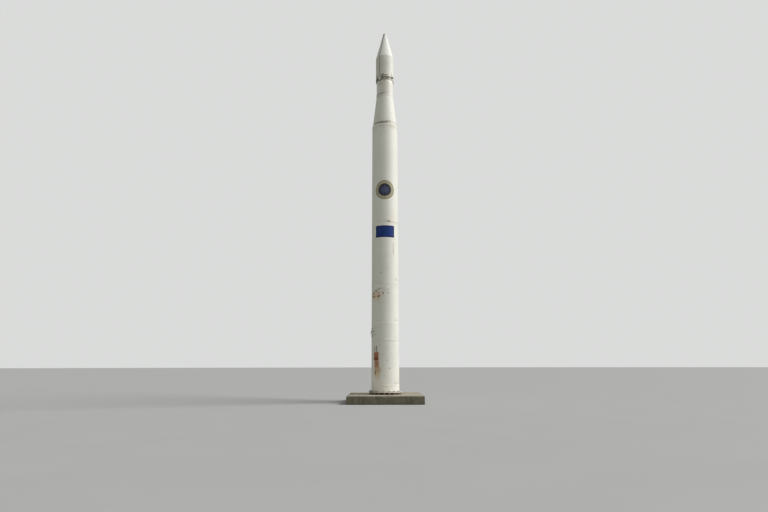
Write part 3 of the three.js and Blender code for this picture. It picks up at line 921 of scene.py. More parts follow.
# What each paint shows: a mark's kind, azimuth, height, half width, half height or length, colour and
# strength. A spot has no colour of its own, and a run starts at its height.
MARKS = {
    "base_collar": [
        # Paler white all round and on the left: painted light at the foot.
        ("stain", 0, 0.60, 9.0, 0.30, PALER_PAINTED_LIGHT, 0.95),
        ("stain", -40, 0.60, 0.75, 0.30, PALEST_PAINTED_LIGHT, 0.95),
        ("stain", 0, 0.462, 4.0, 0.016, BROWN, 0.7),
        ("stain", -58, 0.64, 0.10, 0.10, DUST, 0.35),
    ],
    "foot_ring": [
        # Paler white all round and on the left: painted light at the foot.
        ("stain", 0, 0.72, 9.0, 0.30, PALER_PAINTED_LIGHT, 0.95),
        ("stain", -40, 0.72, 0.75, 0.30, PALEST_PAINTED_LIGHT, 0.95),
    ],
    "aft_skirt": [
        # Paler white low on the left: painted light at the foot.
        ("stain", -30, 0.95, 0.75, 1.0, PALER_PAINTED_LIGHT, 0.9),
        ("stain", -45, 0.75, 0.70, 0.5, PALEST_PAINTED_LIGHT, 0.8),
        ("run", -38, 1.80, 0.150, 0.72, (0.60, 0.35, 0.20), 1.0),
        ("run", -40, 1.80, 0.120, 0.66, (0.42, 0.20, 0.10), 1.0),
        ("run", -38, 1.79, 0.040, 0.50, (0.42, 0.20, 0.09), 0.7),
        ("stain", -29, 1.38, 0.15, 0.14, (0.62, 0.48, 0.29), 0.8),
        ("stain", -34, 1.22, 0.15, 0.22, (0.74, 0.59, 0.34), 0.65),
        ("stain", -37, 1.42, 0.11, 0.17, (0.44, 0.25, 0.10), 0.85),
        ("stain", -35, 1.35, 0.09, 0.10, (0.40, 0.23, 0.09), 0.8),
        ("run", -37, 1.50, 0.17, 0.75, (0.77, 0.63, 0.42), 0.6),
        ("run", -46, 1.38, 0.030, 0.30, (0.30, 0.14, 0.07), 0.8),
        ("spot", -45.6, 1.245, 0.024, 0.055, 1.0),
        ("run", -50.5, 2.40, 0.024, 0.50, (0.30, 0.20, 0.13), 1.0),
        ("run", -38.9, 2.405, 0.034, 0.46, (0.13, 0.07, 0.045), 1.0),
        ("run", -45, 2.34, 0.085, 0.40, (0.66, 0.54, 0.40), 0.6),
        ("run", -27, 2.12, 0.035, 0.50, (0.68, 0.57, 0.42), 0.7),
        ("spot", -23, 2.45, 0.012, 0.010, 0.6),
        ("spot", -8.5, 2.03, 0.012, 0.010, 0.6),
        ("stain", 9, 1.78, 0.040, 0.022, DIRT, 0.75),
        ("spot", 17, 1.44, 0.024, 0.018, 0.7),
    ],
    "joint_ring_2": [
        # Paler white on the ring's lower part: painted light under its lip.
        ("stain", 15, 3.385, 0.9, 0.068, PALER_PAINTED_LIGHT, 0.65),
    ],
    "joint_ring_3": [
        # Paler white on the ring's lower part: painted light under its lip.
        ("stain", 20, 5.045, 0.9, 0.045, PALER_PAINTED_LIGHT, 0.7),
        ("stain", 0, 5.150, 9.0, 0.022, DUST, 0.4),
    ],
    "motor_case_1": [
        # Paler white just under the ring above: painted light where its lip shades the case.
        ("stain", 35, 3.328, 0.5, 0.022, PALEST_PAINTED_LIGHT, 0.3),
        ("spot", 128, 3.06, 0.020, 0.016, 0.9),
        ("run", 128, 3.05, 0.020, 0.24, RUST_RUN, 0.6),
        ("stain", -75, 2.99, 0.30, 0.27, DUST, 0.5),
        ("run", -66, 2.86, 0.03, 0.22, RUST_RUN, 0.5),
        ("run", -57.6, 2.99, 0.02, 0.2, RUST_RUN, 0.35),
        ("spot", -44.4, 2.89, 0.022, 0.016, 0.8),
    ],
    "motor_case_2": [
        # Paler white just under the ring above: painted light where its lip shades the case.
        ("stain", 35, 5.003, 0.5, 0.022, PALEST_PAINTED_LIGHT, 0.4),
        ("stain", 148, 4.50, 0.22, 0.20, (0.70, 0.60, 0.44), 0.6),
        ("spot", 143, 4.62, 0.034, 0.030, 0.9),
        ("spot", 155, 4.50, 0.026, 0.024, 0.9),
        ("spot", -150, 3.62, 0.020, 0.016, 0.8),
        ("run", 150, 4.50, 0.14, 0.50, (0.74, 0.63, 0.46), 0.6),
        ("stain", -48, 4.67, 0.36, 0.20, (0.68, 0.56, 0.42), 0.85),
        ("stain", -36, 4.64, 0.12, 0.09, (0.78, 0.55, 0.40), 0.7),
        ("run", -47, 4.60, 0.24, 0.38, (0.72, 0.60, 0.44), 0.75),
        ("run", -29, 4.57, 0.07, 0.26, (0.74, 0.60, 0.42), 0.6),
        ("spot", -42, 4.830, 0.038, 0.036, 1.0),
        ("spot", -57, 4.715, 0.045, 0.042, 0.95),
        ("spot", -56, 4.575, 0.060, 0.036, 0.9),
        ("spot", -28, 4.575, 0.042, 0.040, 1.0),
        ("stain", -39, 4.575, 0.08, 0.022, BROWN, 0.45),
        ("spot", -28.6, 4.735, 0.026, 0.026, 0.8),
        ("spot", -9, 4.705, 0.026, 0.040, 1.0),
        ("stain", -23, 4.605, 0.045, 0.060, (0.40, 0.31, 0.22), 0.8),
        ("stain", -27, 4.895, 0.050, 0.036, (0.40, 0.33, 0.24), 0.8),
        ("stain", 12, 4.715, 0.050, 0.038, (0.33, 0.31, 0.26), 0.8),
        ("stain", -20, 4.925, 0.15, 0.013, DIRT, 0.75),
        ("stain", -33, 4.885, 0.06, 0.020, BROWN, 0.6),
        ("stain", -6, 4.870, 0.03, 0.030, DIRT, 0.5),
        ("stain", 11, 4.890, 0.10, 0.012, DIRT, 0.4),
        ("stain", 0, 4.79, 0.015, 0.07, DIRT, 0.35),
        ("stain", 29, 4.72, 0.012, 0.07, DUST, 0.7),
    ],
    "motor_case_3": [
        ("stain", -18.5, 5.633, 0.055, 0.016, DIRT, 0.85),
        ("spot", -18.0, 5.64, 0.016, 0.010, 0.7),
        ("stain", 54, 5.357, 0.050, 0.024, SOOT, 0.75),
        ("stain", 60, 5.30, 0.045, 0.030, DIRT, 0.6),
    ],
    "motor_case_4": [
        ("run", -155, 7.60, 0.060, 0.80, (0.66, 0.56, 0.42), 0.5),
        ("spot", -155, 7.62, 0.020, 0.014, 0.8),
        ("run", 37.5, 7.02, 0.036, 0.66, (0.58, 0.50, 0.44), 0.9),
        ("run", 37.5, 6.76, 0.024, 0.40, (0.46, 0.38, 0.32), 0.9),
        ("spot", 46, 7.19, 0.012, 0.010, 0.7),
        ("stain", 0, 7.54, 0.60, 0.36, (0.90, 0.90, 0.89), 0.7),
    ],
    "joint_ring_4": [
        ("stain", 30, 8.02, 0.26, 0.10, (0.76, 0.66, 0.52), 0.7),
        ("stain", 13, 8.040, 0.110, 0.026, (0.44, 0.36, 0.26), 0.95),
        ("stain", 18, 8.012, 0.095, 0.026, BROWN, 1.0),
        ("stain", 19, 8.010, 0.060, 0.014, SOOT, 0.9),
        ("stain", 6, 8.040, 0.060, 0.014, DIRT, 0.85),
        ("stain", -4, 8.070, 0.040, 0.012, DIRT, 0.6),
        ("stain", 19, 8.074, 0.10, 0.010, DUST, 0.8),
    ],
    "forward_case": [
        ("stain", 175, 12.70, 0.34, 0.020, DIRT, 0.6),
        ("run", 168, 12.73, 0.20, 0.40, (0.68, 0.60, 0.46), 0.55),
        ("run", -130, 12.73, 0.05, 0.60, (0.70, 0.60, 0.44), 0.5),
        ("spot", 140, 10.10, 0.022, 0.018, 0.8),
        ("stain", 36, 8.25, 0.26, 0.20, (0.79, 0.72, 0.61), 0.5),
        ("stain", 0, 12.73, 9.0, 0.030, (0.66, 0.57, 0.44), 0.5),
        ("run", -14, 12.74, 0.10, 0.16, (0.66, 0.58, 0.46), 0.5),
        ("run", 34, 12.74, 0.14, 0.16, (0.70, 0.58, 0.42), 0.6),
        ("stain", -44, 12.64, 0.10, 0.05, DUST, 0.6),
        ("stain", -3, 12.63, 0.05, 0.018, DIRT, 0.6),
    ],
    "shoulder_ring": [
        ("stain", -35, 12.80, 0.30, 0.04, (0.66, 0.60, 0.49), 0.5),
        ("stain", 38, 12.80, 0.20, 0.04, (0.72, 0.60, 0.44), 0.6),
        ("stain", -14, 12.765, 0.15, 0.016, DIRT, 0.8),
        ("stain", 8, 12.765, 0.12, 0.014, DIRT, 0.65),
        ("stain", 28, 12.765, 0.09, 0.020, (0.45, 0.36, 0.24), 0.6),
        # Dark along the top on the left: painted shade in the recess under the cone.
        ("stain", -12, 12.916, 0.34, 0.034, (0.24, 0.225, 0.18), 1.0),
    ],
    "forward_cone": [
        ("stain", 25, 13.055, 0.055, 0.024, (0.22, 0.19, 0.13), 0.9),
        ("stain", -30, 13.045, 0.4, 0.014, DIRT, 0.6),
        ("stain", -40, 13.3, 0.12, 0.2, DUST, 0.35),
        ("stain", -35, 14.44, 0.4, 0.016, DIRT, 0.6),
        ("stain", 8, 13.19, 0.5, 0.05, DUST, 0.35),
    ],
    "cone_ring": [
        ("stain", -62, 14.53, 0.16, 0.08, DIRT, 0.55),
        ("stain", -25, 14.585, 0.26, 0.014, SOOT, 0.85),
        ("stain", 12, 14.588, 0.18, 0.010, DIRT, 0.6),
        ("stain", -28, 14.548, 0.17, 0.022, (0.24, 0.22, 0.17), 0.8),
    ],
    "neck_ring": [
        ("stain", -20, 14.600, 0.22, 0.012, SOOT, 0.7),
        ("stain", -22, 14.715, 0.20, 0.010, DIRT, 0.8),
        ("stain", 12, 14.655, 0.15, 0.10, DUST, 0.45),
    ],
    "neck": [
        ("stain", -22, 14.735, 0.20, 0.016, DIRT, 0.7),
        ("stain", 12, 14.79, 0.15, 0.07, DUST, 0.4),
        ("stain", -6, 15.08, 0.30, 0.26, (0.60, 0.54, 0.42), 0.6),
        ("stain", -27, 15.13, 0.09, 0.06, (0.36, 0.32, 0.24), 0.5),
        ("stain", -43, 15.09, 0.08, 0.05, DIRT, 0.5),
        ("stain", -3, 15.22, 0.07, 0.05, (0.36, 0.31, 0.23), 0.5),
        # Dark under the band on the left: partly dirt, partly painted shadow of the band above.
        ("stain", -32, 15.31, 0.26, 0.030, (0.16, 0.15, 0.12), 0.8),
        ("stain", -62, 15.29, 0.10, 0.036, (0.14, 0.13, 0.11), 0.8),
        ("stain", 2, 15.32, 0.14, 0.045, (0.50, 0.44, 0.35), 0.8),
        # Dark under the band on the left: partly dirt, partly painted shadow of the band above.
        ("stain", -35, 15.285, 0.095, 0.044, (0.14, 0.13, 0.10), 1.0),
        # Paler white at the neck's top on the right: painted light under the band's ledge.
        ("stain", 42, 15.27, 0.16, 0.10, PALEST_PAINTED_LIGHT, 1.0),
    ],
    "fairing_barrel": [
        # The wide grey over the barrel's left is painted shade.
        ("stain", -42, 16.0, 0.28, 0.8, (0.42, 0.41, 0.34), 0.30),
        ("stain", 5, 15.535, 0.13, 0.030, (0.20, 0.17, 0.12), 1.0),
        ("stain", 2, 15.49, 0.12, 0.022, (0.34, 0.31, 0.25), 0.9),
        ("stain", 24, 15.475, 0.10, 0.030, (0.36, 0.34, 0.28), 0.7),
        ("stain", -12, 15.56, 0.07, 0.07, (0.16, 0.15, 0.12), 0.7),
        ("stain", -20, 15.49, 0.09, 0.07, (0.13, 0.125, 0.10), 0.85),
        ("stain", -30, 15.60, 0.08, 0.11, DUST, 0.6),
        ("stain", -66, 15.55, 0.12, 0.09, DIRT, 0.75),
        ("stain", 1, 15.70, 0.04, 0.018, DIRT, 0.6),
        ("run", 12, 16.30, 0.16, 0.6, (0.62, 0.55, 0.48), 0.4),
        ("stain", -68, 16.5, 0.05, 0.8, DIRT, 0.35),
    ],
    "fairing_cone": [
        # The pale cloud on the cone's left is painted light.
        ("stain", -18, 17.3, 0.17, 0.9, (0.96, 0.955, 0.90), 1.0),
    ],
    "nose_cap": [
        # The tip's left is dark: painted shade, with dirt along the split.
        ("stain", -60, 18.03, 0.085, 0.09, SOOT, 0.9),
        ("stain", -45, 17.95, 0.05, 0.05, DIRT, 0.9),
    ],
}

SCREWS = 48
SCREW_RADIUS = 0.010
SCREW_EDGE = 0.034  # from a ring's end to its row of screws
RING_WALL = 0.013
LIP_INNER = 0.550  # the shoulder's lip
SHOULDER_INNER = 0.600


def section_outline(low, high, radius, wall=WALL, edge=EDGE):
    """A tube's outline, with its outer side in rows that can be dented."""
    side = [(radius, height) for height in spaced(low + edge, high - edge, ROW)]
    return [(radius - wall, low), (radius - edge, low), *side, (radius - edge, high), (radius - wall, high)]


def screw_rows(name, node, material, rows):
    low, high, radius = span(node)
    levels = [(low + high) / 2] if rows == 1 else [low + SCREW_EDGE, high - SCREW_EDGE]
    head = peg([(SCREW_RADIUS, -0.001), (SCREW_RADIUS, 0.002), (0.7 * SCREW_RADIUS, 0.004)], sides=12)
    shapes = [on_wall_round(head, SCREWS, radius, level, first=180 / SCREWS) for level in levels]
    piece(name, together(*shapes), material)


def weld_up(name, low, high, radius_at, azimuth, material):
    """A lengthwise weld: a low round bead with an uneven crown."""
    loops = []
    for height in spaced(low, high, WELD_ROW):
        half = WELD_HALF * (1 + 0.15 * noise.noise(Vector((height * 9, azimuth, 0))))
        crown = WELD_CROWN * (1 + 0.3 * noise.noise(Vector((height * 31, 0, azimuth))))
        radius = radius_at(height)
        section = [
            (-half, WELD_FOOT),
            (-half, 0),
            (-half / 2, crown),
            (half / 2, crown),
            (half, 0),
            (half, WELD_FOOT),
        ]
        turn = [(azimuth + math.degrees(across / radius), radius + out) for across, out in section]
        loops.append([at(a, r, height) for a, r in turn])
    piece(name, bar(loops), material)


def shoulder(low, high, radius):
    """A ring that slopes in to the lip, which the cone stands on."""
    return lathe(rounded([
        (SHOULDER_INNER, low, 0),
        (radius, low, 0.003),
        (radius, high - 0.020, 0.006),
        (LIP_INNER + 0.016, high, 0.004),
        (LIP_INNER, high, 0),
        (LIP_INNER, high - 0.012, 0),
        (SHOULDER_INNER, high - 0.034, 0),
    ]))


def body_sections():
    """Each section's skin, screws and weld. It gives the sections' paints, by node."""
    finishes = {}
    for node, rows, seam, grime, rust in SECTIONS:
        low, high, radius = span(node)
        ring = node.startswith(("joint", "foot"))
        colour = RING_WHITE if ring else BODY_WHITE
        finish = weathered(f"{node}_paint", colour, low, high, radius, MARKS.get(node, ()), grime, rust)
        finishes[node] = finish
        if node == "shoulder_ring":
            shape = shoulder(low, high, radius)
        elif ring:
            shape = lathe(hoop(radius - RING_WALL, radius, low, high, roundings=(0, 0.0015, 0.0015, 0)))
        else:
            shape = dented(lathe(section_outline(low, high, radius)), radius)
        piece(f"{node}_skin", shape, finish, replaces=(node,))
        if rows:
            screw_rows(f"{node}_screws", node, finish, rows)
        if seam is not None:
            weld_up(f"{node}_weld", low + EDGE, high - EDGE, lambda height, r=radius: r, seam, finish)
    return finishes


LUG_AZIMUTH = -75
LUG_RADIUS = 0.085
LUG_WELD = 0.009
LUG_REACH = 0.0397  # out of the skin
LUG_BOLT_CIRCLE = 0.19
LUG_BOLT_ANGLES = (62, 10, -50, -110, -170, 122)


def handling_lug(paint, dark):
    """A curved pad with a round boss, and a circle of bolts in the skin about it."""
    low, high, _ = span("handling_lug")
    middle = (low + high) / 2
    skin = span("motor_case_1")[2] + SKIN_GAP
    pad = plate(width=0.26, tall=high - low, thick=0.010, corner=0.03, edge=0.002)
    pad = wrapped(pad, LUG_AZIMUTH, skin, middle)
    groove = LUG_REACH - 0.003
    boss = peg([
        (LUG_RADIUS, 0.004),
        (LUG_RADIUS, LUG_REACH - 0.004),
        (LUG_RADIUS - 0.004, LUG_REACH),
        (0.058, LUG_REACH),
        (0.056, groove),
        (0.050, groove),
        (0.048, LUG_REACH),
        (0.010, LUG_REACH),
    ], sides=48)
    toe = LUG_RADIUS + LUG_WELD
    weld = peg([(toe, 0.008), (toe, 0.011), (LUG_RADIUS - 0.001, 0.019)], sides=48)
    lug = together(pad, on_wall(together(boss, weld), LUG_AZIMUTH, skin, middle))
    piece("lug_on_pad", lug, paint, replaces=("handling_lug",))
    washer = peg([(0.026, -0.001), (0.026, 0.003)], sides=24)
    bolt = together(hex_head(across=0.036, tall=0.014), washer)
    bolts = []
    for angle in LUG_BOLT_ANGLES:
        turn = math.radians(angle)
        bolts.append(shifted(bolt, LUG_BOLT_CIRCLE * math.cos(turn), LUG_BOLT_CIRCLE * math.sin(turn), 0))
    piece("lug_bolts", wrapped(together(*bolts), LUG_AZIMUTH, skin, middle), dark)


DOUBLER_AZIMUTH = -42
DOUBLER_WIDTH = 0.265
DOUBLER_THICK = 0.006
RAGGED = 0.012  # rusted off the doubler's edges, at most
BUCKLE = 0.0016
DOUBLER_RIVET = 0.011
DOUBLER_RIVETS_ACROSS = (-0.105, 0.105)
DOUBLER_RIVETS_UP = (-0.14, -0.047, 0.047, 0.14)


def doubler():
    """A rusted plate on the skin, with ragged edges and eight rivets."""
    low, high, _ = span("doubler_plate")
    tall = high - low
    points, faces = plate(DOUBLER_WIDTH, tall, DOUBLER_THICK, corner=0.014, edge=0.0015, step=0.012)
    worn = []
    for x, y, z in points:
        bite = RAGGED * max(0.0, noise.noise(Vector((x * 30, y * 9, 4))) + 0.1)
        outer = z > 0.5 * DOUBLER_THICK
        buckle = BUCKLE * noise.noise(Vector((x * 11, y * 7, 0))) if outer else 0.0
        worn.append((x * (1 - bite / DOUBLER_WIDTH), y * (1 - 2 * bite / tall), max(z + buckle, z * 0.4)))
    places = [(across, up) for across in DOUBLER_RIVETS_ACROSS for up in DOUBLER_RIVETS_UP]
    head = raised(rivet(DOUBLER_RIVET), DOUBLER_THICK - 0.001)
    heads = [shifted(head, across, up, 0) for across, up in places]
    skin = span("aft_skirt")[2] + SKIN_GAP
    shape = wrapped(together((worn, faces), *heads), DOUBLER_AZIMUTH, skin, (low + high) / 2)
    rust = rusted_plate("rusted_plate", low, high)
    piece("doubler_sheet", shape, rust, replaces=("doubler_plate",))


# The signs: a tan ring round a dark disc with a plain rosette, and a blue panel.
SIGN_AZIMUTH = -1.25
PANEL_AZIMUTH = -0.5
SIGN_THICK = 0.0025
SIGN_EDGE = 0.0006
FIGURE_THICK = 0.0008  # of the painted figures that stand out of the sign
FIGURE_EDGE = 0.0003
FIGURE_FOOT = SIGN_THICK - 0.0002
FIGURE_TOP = SIGN_THICK + FIGURE_THICK
ROSETTE_RADIUS = 0.215
PETAL_FOOT = 0.055
PETAL_ROWS = 12
RAIL_TALL = 0.038
STILE_WIDTH = 0.042
PETALS = 7
TICKS = 28


def petal(length, width):
    """A flat petal from the origin along Y, in strips that can be bent."""
    loops = []
    for i in range(PETAL_ROWS + 1):
        share = i / PETAL_ROWS
        half = width / 2 * math.sin(math.pi * (0.04 + 0.92 * share)) ** 0.8
        ways = spaced(-half, half, 2 * half / 6)
        y = length * share
        loops.append([(x, y, FIGURE_TOP) for x in ways] + [(x, y, FIGURE_FOOT) for x in reversed(ways)])
    return bar(loops)


def emblem():
    """The round sign: a ring with tick marks round a dark disc with a rosette of petals."""
    low, high, _ = span("badge_ring")
    disc_low, disc_high, _ = span("badge_disc")
    outer = (high - low) / 2
    inner = (disc_high - disc_low) / 2
    skin = span("forward_case")[2] + SKIN_GAP

    def lay(name, shape, material, slot, replaces=()):
        bent = wrapped(shape, SIGN_AZIMUTH, skin, (low + high) / 2)
        piece(name, bent, material, replaces=replaces)

    def figure_ring(from_radius, to_radius):
        return flat_ring(from_radius, to_radius, FIGURE_FOOT, FIGURE_TOP, FIGURE_EDGE)

    tan = sign_paint("emblem_tan", (0.42, 0.385, 0.25), (0.50, 0.46, 0.31), 0.8)
    dark = sign_paint("emblem_dark", (0.030, 0.032, 0.045), (0.06, 0.065, 0.10), 0.7)
    blue = sign_paint("emblem_blue", (0.085, 0.115, 0.22), (0.12, 0.14, 0.20), 0.8)
    line = sign_paint("emblem_line", (0.17, 0.15, 0.10), (0.24, 0.21, 0.14), 0.7)
    ring = flat_ring(inner + 2 * SKIN_GAP, outer, 0, SIGN_THICK, SIGN_EDGE)
    lay("emblem_ring", ring, tan, "badge_tan", ("badge_ring",))
    lay("emblem_disc", disc(inner, 0, SIGN_THICK, SIGN_EDGE), dark, "sign_blue", ("badge_disc",))
    rims = together(figure_ring(outer - 0.022, outer), figure_ring(inner + 0.003, inner + 0.016))
    lay("emblem_outlines", rims, line, "badge_tan")
    tick = plate(0.014, 0.052, FIGURE_THICK, corner=0.004, edge=FIGURE_EDGE, step=0.005)
    tick = shifted(tick, 0, (inner + outer) / 2, FIGURE_FOOT)
    lay("emblem_ticks", ringed(tick, TICKS), line, "badge_tan")
    petals = ringed(shifted(petal(length=0.13, width=0.085), 0, PETAL_FOOT, 0), PETALS)
    centre = disc(0.042, FIGURE_FOOT, FIGURE_TOP, FIGURE_EDGE, step=0.02)
    rim = figure_ring(ROSETTE_RADIUS - 0.010, ROSETTE_RADIUS)
    lay("emblem_rosette", together(centre, rim, petals), blue, "sign_blue")


def blue_panel():
    """A blank panel with a darker border."""
    low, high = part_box("blue_panel")
    skin = span("motor_case_4")[2] + SKIN_GAP
    # The box is as wide as the chord between the panel's ends.
    width = 2 * skin * math.asin((high[0] - low[0]) / 2 / (skin + SIGN_THICK))
    tall = high[2] - low[2]
    middle = (high[2] + low[2]) / 2
    blue = sign_paint("panel_blue", (0.010, 0.036, 0.20), (0.020, 0.046, 0.17), 0.8)
    edge = sign_paint("panel_edge", (0.014, 0.018, 0.036), (0.024, 0.028, 0.05), 0.7)
    sheet = plate(width, tall, SIGN_THICK, corner=0.006, edge=0.0008)
    sheet = wrapped(sheet, PANEL_AZIMUTH, skin, middle)
    piece("panel_sheet", sheet, blue, replaces=("blue_panel",))
    rail = plate(width - 0.006, RAIL_TALL, thick=0.001, corner=0.002, edge=FIGURE_EDGE)
    stile = plate(STILE_WIDTH, tall - 0.083, thick=0.001, corner=0.002, edge=FIGURE_EDGE, step=0.01)
    foot = SIGN_THICK - 0.0001
    up = (tall - RAIL_TALL) / 2 - 0.003
    across = (width - STILE_WIDTH) / 2 - 0.003
    rails = [shifted(rail, 0, side * up, foot) for side in (-1, 1)]
    stiles = [shifted(stile, side * across, 0, foot) for side in (-1, 1)]
    border = wrapped(together(*rails, *stiles), PANEL_AZIMUTH, skin, middle)
    piece("panel_border", border, edge)


# The nose: the cone, the neck and the fairing.
BAND_WALL = 0.016
CONE_EDGE = 0.003
CONE_WELD_AZIMUTH = 150
FITTING_AZIMUTH = 13
NECK_BORE = 0.393  # the inner radius of the neck and its rings
CLAMP_WIDTH = 0.078
CLAMP_THICK = 0.014
CLAMP_ROD_UP = 0.03  # above the clamp's middle
CLAMP_ROD_OUT = 0.022
CLAMP_ROD_RADIUS = 0.005
DECK_BOLTS = 24
DECK_BOLT_CIRCLE = 0.372
ADAPTER_TOP = 0.300  # its radius there
ADAPTER_WALL = 0.010


def recessed_band():
    """The low band under the cone, dark on its left with painted shade in the recess."""
    low, high, radius = span("recessed_band")
    marks = [
        # Dark on the left: painted shade in the recess under the cone.
        ("stain", -30, low, 0.66, 0.075, (0.15, 0.145, 0.11), 1.0),
        ("stain", -20, high + 0.008, 0.8, 0.052, (0.86, 0.83, 0.74), 1.0),
        ("stain", 158, low, 0.9, 0.10, (0.20, 0.19, 0.15), 0.9),
    ]
    colour = (0.72, 0.68, 0.58)
    # With its ends a metre off, the paint gets none of the dirt of a joint.
    paint = weathered("band_paint", colour, low - 1, high + 1, radius, marks, grime=1.5, rust=1.5)
    shape = lathe(hoop(radius - BAND_WALL, radius, low, high))
    piece("recessed_band_skin", shape, paint, replaces=("recessed_band",))


def forward_cone():
    """The cone, with its weld, its rows of screws and a small fitting."""
    low, high, foot_radius = span("forward_cone")
    top_radius = span("cone_ring")[2] - 0.002
    slope = (foot_radius - top_radius) / (high - low)

    def wall(height):
        return foot_radius - slope * (height - low)

    middle = (foot_radius + top_radius) / 2
    marks = MARKS["forward_cone"]
    paint = weathered("cone_paint", BODY_WHITE, low, high, middle, marks, grime=0.7, rust=0.7)
    side = [(wall(height), height) for height in spaced(low + CONE_EDGE, high - CONE_EDGE, ROW)]
    lip = low + 0.012
    inner = [(top_radius - WALL, high), (foot_radius - WALL, lip), (LIP_INNER, lip), (LIP_INNER, low)]
    shape = lathe([(foot_radius - CONE_EDGE, low), *side, (top_radius - CONE_EDGE, high), *inner])
    piece("cone_skin", shape, paint, replaces=("forward_cone",))
    weld_up("cone_weld", low + 0.01, high - 0.01, wall, CONE_WELD_AZIMUTH, paint)
    levels = (low + 0.035, high - 0.03)
    head = rivet(radius=0.008)
    screws = [on_wall_round(head, 36, wall(level) - HEAD_SUNK, level) for level in levels]
    piece("cone_screws", together(*screws), paint)
    foot = block(width=0.05, depth=0.03, low=0, high=0.012, corner=0.006, edge=0.002)
    fitting = together(foot, raised(hex_head(across=0.022, tall=0.008), 0.012))
    bright = steel("fitting_bright", (0.72, 0.70, 0.64), rust=0.1, metallic=0.5, roughness=0.4, dirt=0.1)
    fitting = on_wall(fitting, FITTING_AZIMUTH, foot_radius - 0.002, low + 0.02)
    piece("cone_fitting", fitting, bright)


def neck_rings():
    """The neck and the two rings that it stands on."""
    for node, grime in (("cone_ring", 0.6), ("neck_ring", 0.9), ("neck", 1.1)):
        low, high, radius = span(node)
        paint = weathered(f"{node}_paint", RING_WHITE, low, high, radius, MARKS[node], grime, rust=0.8)
        outline = section_outline(low, high, radius, wall=radius - NECK_BORE, edge=0.003)
        piece(f"{node}_skin", lathe(outline), paint, replaces=(node,))
        if node == "cone_ring":
            heads = on_wall_round(rivet(0.009), 32, radius - HEAD_SUNK, (low + high) / 2)
            piece("cone_ring_screws", heads, paint)


def separation_ring():
    """The ring at the fairing's foot, dark on its left and back with paint and painted shade, with the ears
    of its hinges.
    """
    low, high, radius = span("separation_ring")
    middle = (low + high) / 2
    marks = [
        ("stain", 5, middle, 0.24, 0.3, (0.46, 0.41, 0.33), 1.0),
        # Dark on the left: partly dark paint, partly painted shade of the side away from the sun.
        ("stain", -68, middle, 0.38, 0.3, (0.10, 0.095, 0.08), 1.0),
        ("stain", -15, middle, 0.11, 0.3, (0.24, 0.23, 0.18), 0.9),
        ("stain", 15, high - 0.020, 0.40, 0.052, (0.11, 0.10, 0.075), 1.0),
        ("stain", 8, high - 0.060, 0.16, 0.035, (0.16, 0.14, 0.10), 0.9),
        ("stain", 34, high - 0.062, 0.15, 0.036, (0.10, 0.09, 0.07), 1.0),
        # Paler white on the band's underside at the right: painted light.
        ("stain", 40, low + 0.002, 0.19, 0.040, PALEST_PAINTED_LIGHT, 1.0),
        ("stain", 19, low + 0.022, 0.065, 0.026, (0.10, 0.09, 0.07), 0.9),
        ("stain", -29, middle, 0.030, 0.045, (0.50, 0.48, 0.42), 0.9),
        # Dark at the back: partly dark paint, partly painted shade.
        ("stain", 165, middle, 0.60, 0.3, (0.14, 0.13, 0.11), 1.0),
    ]
    paint = weathered("separation_paint", (0.72, 0.69, 0.60), low, high, radius, marks, grime=1.0, rust=0.6)
    refined("separation_ring_skin", "separation_ring", paint)


def tensioner(name, node, azimuth, bright, dark):
    """A clamp of the separation band: a body with four screws, and a rod through two lugs."""
    low, high, _ = span(node)

    def lay(part):
        return on_wall(part, azimuth, BARREL_RADIUS + SKIN_GAP, (low + high) / 2)

    body = block(CLAMP_WIDTH, high - low - 0.002, 0, CLAMP_THICK, corner=0.006, edge=0.0015)
    lug = block(0.020, 0.05, CLAMP_THICK - 0.001, 0.030, corner=0.004, edge=0.0015)
    lugs = [shifted(lug, x, CLAMP_ROD_UP, 0) for x in (-0.026, 0.026)]
    places = [(x, y) for x in (-0.025, 0.025) for y in (-0.06, -0.03)]
    screws = [shifted(hex_head(across=0.016, tall=0.007), x, y, CLAMP_THICK) for x, y in places]
    piece(name, lay(together(body, *lugs, *screws)), bright, replaces=(node,))
    half = CLAMP_WIDTH / 2
    rod = moved(peg([(CLAMP_ROD_RADIUS, -half), (CLAMP_ROD_RADIUS, half)], sides=12), ALONG_X)
    piece(f"{name}_rod", lay(shifted(rod, 0, CLAMP_ROD_UP, CLAMP_ROD_OUT)), dark)


def bay(primer, steel_finish):
    """The deck on the separation ring, and the payload's adapter: a cup upside down."""
    low, high, radius = span("payload_deck")
    shape = disc(radius, low, high, edge=0.0015, step=0.05)
    piece("deck_plate", shape, primer, replaces=("payload_deck",))
    bolt = hex_head(across=0.017, tall=0.007)
    bolts = ringed(shifted(bolt, 0, -DECK_BOLT_CIRCLE, high), DECK_BOLTS)
    piece("deck_bolts", bolts, steel_finish)
    bottom, top, foot = span("payload_adapter")
    dish = top - ADAPTER_WALL
    outline = rounded([
        (0.0, dish, 0),
        (ADAPTER_TOP - ADAPTER_WALL, dish, 0),
        (foot - ADAPTER_WALL, bottom, 0),
        (foot, bottom, 0.002),
        (ADAPTER_TOP, top, 0.003),
        (0.0, top, 0),
    ])
    cup = peg(outline[1:-1], STEPS)
    piece("adapter_cup", cup, primer, replaces=("payload_adapter",))


